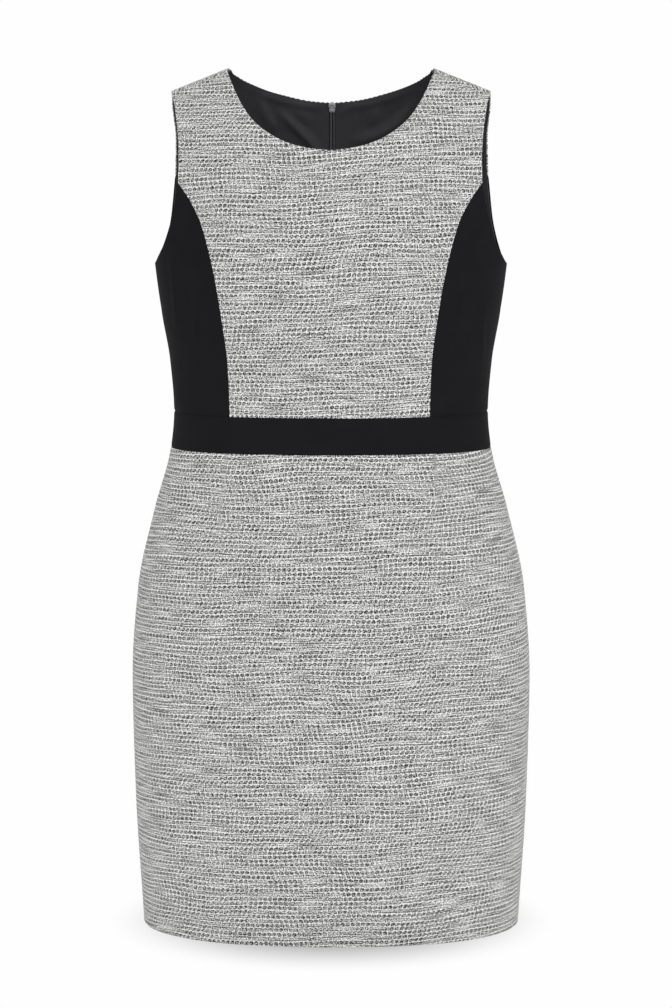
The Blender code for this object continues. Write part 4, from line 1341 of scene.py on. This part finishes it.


# ---- studio ----
# A white floor just below the hem, with a painted shadow round the hem, and an even white surround, with one
# soft light from the front.
# The camera stands 3.4 m away and looks down a little.

CAMERA_DISTANCE = 3.40
CAMERA_HEIGHT = -0.0545
CAMERA_YAW = math.radians(0.9)
CAMERA_PITCH = math.radians(6.515)
IMAGE_HEIGHT = 1008
FOCAL_PIXELS = 3240
AIM_PIXELS = 5  # how far the middle of the picture lies to the right of the camera's yaw

camera_data = bpy.data.cameras.new("camera")
camera_data.sensor_width = 36
camera_data.lens = FOCAL_PIXELS * camera_data.sensor_width / IMAGE_HEIGHT
camera = bpy.data.objects.new("camera", camera_data)
camera.location = (
    CAMERA_DISTANCE * math.sin(CAMERA_YAW),
    -CAMERA_DISTANCE * math.cos(CAMERA_YAW),
    CAMERA_HEIGHT,
)
camera.rotation_euler = (
    math.pi / 2 - CAMERA_PITCH,
    0,
    CAMERA_YAW + math.atan(-AIM_PIXELS / FOCAL_PIXELS),
)
bpy.context.scene.collection.objects.link(camera)
bpy.context.scene.camera = camera

FLOOR_SIZE = 12.0
FLOOR_GAP = 0.0015
# the painted shadow's reach round the hem, across and front to back
SHADOW_HALF_WIDTH = 0.265
SHADOW_HALF_DEPTH = 0.255
floor_shape = bmesh.new()
bmesh.ops.create_grid(floor_shape, x_segments=1, y_segments=1, size=FLOOR_SIZE / 2)
floor_mesh = bpy.data.meshes.new("floor")
floor_shape.to_mesh(floor_mesh)
floor_shape.free()
floor = bpy.data.objects.new("floor", floor_mesh)
floor.location.z = HEM_Z - FLOOR_GAP
bpy.context.scene.collection.objects.link(floor)

# Seamless white paper that glows evenly, with a painted shadow under and round the hem in place of a cast
# one.
# Its underside is clear, to leave the dress in sight from below.
paper_painted_shadow, tree, shader = new_material("paper_painted_shadow")
tree.nodes.remove(shader)
place = add(tree, "TexCoord", output="Object")
place = add(
    tree, "VectorMath", [place, (1 / SHADOW_HALF_WIDTH, 1 / SHADOW_HALF_DEPTH, 0.0)], operation="MULTIPLY"
)
# Painted shadow: the glow is dimmed in an ellipse round the hem, to 0.40 under it and back to full at its
# edge.
away = add(tree, "VectorMath", [place], output="Value", operation="LENGTH")
away = add(
    tree,
    "MapRange",
    {"Value": away, "From Min": 0.33, "From Max": 0.92, "To Min": 0.40, "To Max": 1.0},
    interpolation_type="SMOOTHSTEP",
)
painted_shadow_glow = add(tree, "Emission", {"Color": linear("#FEFEFE"), "Strength": away})
underside = add(tree, "NewGeometry", output="Backfacing")
clear = add(tree, "BsdfTransparent")
paper = add(tree, "MixShader", [underside, painted_shadow_glow, clear])
fill(tree, tree.nodes["Material Output"], {"Surface": paper})
floor_mesh.materials.append(paper_painted_shadow)

world = bpy.data.worlds.new("white_surround")
world.use_nodes = True
tree = world.node_tree
seen = add(tree, "LightPath", output="Is Camera Ray")
strength = add(tree, "MapRange", {"Value": seen, "To Min": 0.80, "To Max": 0.99})
fill(tree, tree.nodes["Background"], {"Strength": strength, "Color": (1, 1, 1, 1)})
bpy.context.scene.world = world

# A softbox high in front, to the wearer's left, turned towards the middle of the dress.
KEY_WIDTH = 1.6
KEY_HEIGHT = 2.2
KEY_POWER = 30
KEY_PLACE = (0.9, -3.0, 1.3)
KEY_AIM = (0, 0, -0.45)
key_data = bpy.data.lights.new("softbox", "AREA")
key_data.shape = "RECTANGLE"
key_data.size = KEY_WIDTH
key_data.size_y = KEY_HEIGHT
key_data.energy = KEY_POWER
key = bpy.data.objects.new("softbox", key_data)
key.location = KEY_PLACE
key.rotation_euler = (Vector(KEY_AIM) - key.location).to_track_quat("-Z", "Y").to_euler()
bpy.context.scene.collection.objects.link(key)

bpy.context.scene.view_settings.view_transform = "Standard"
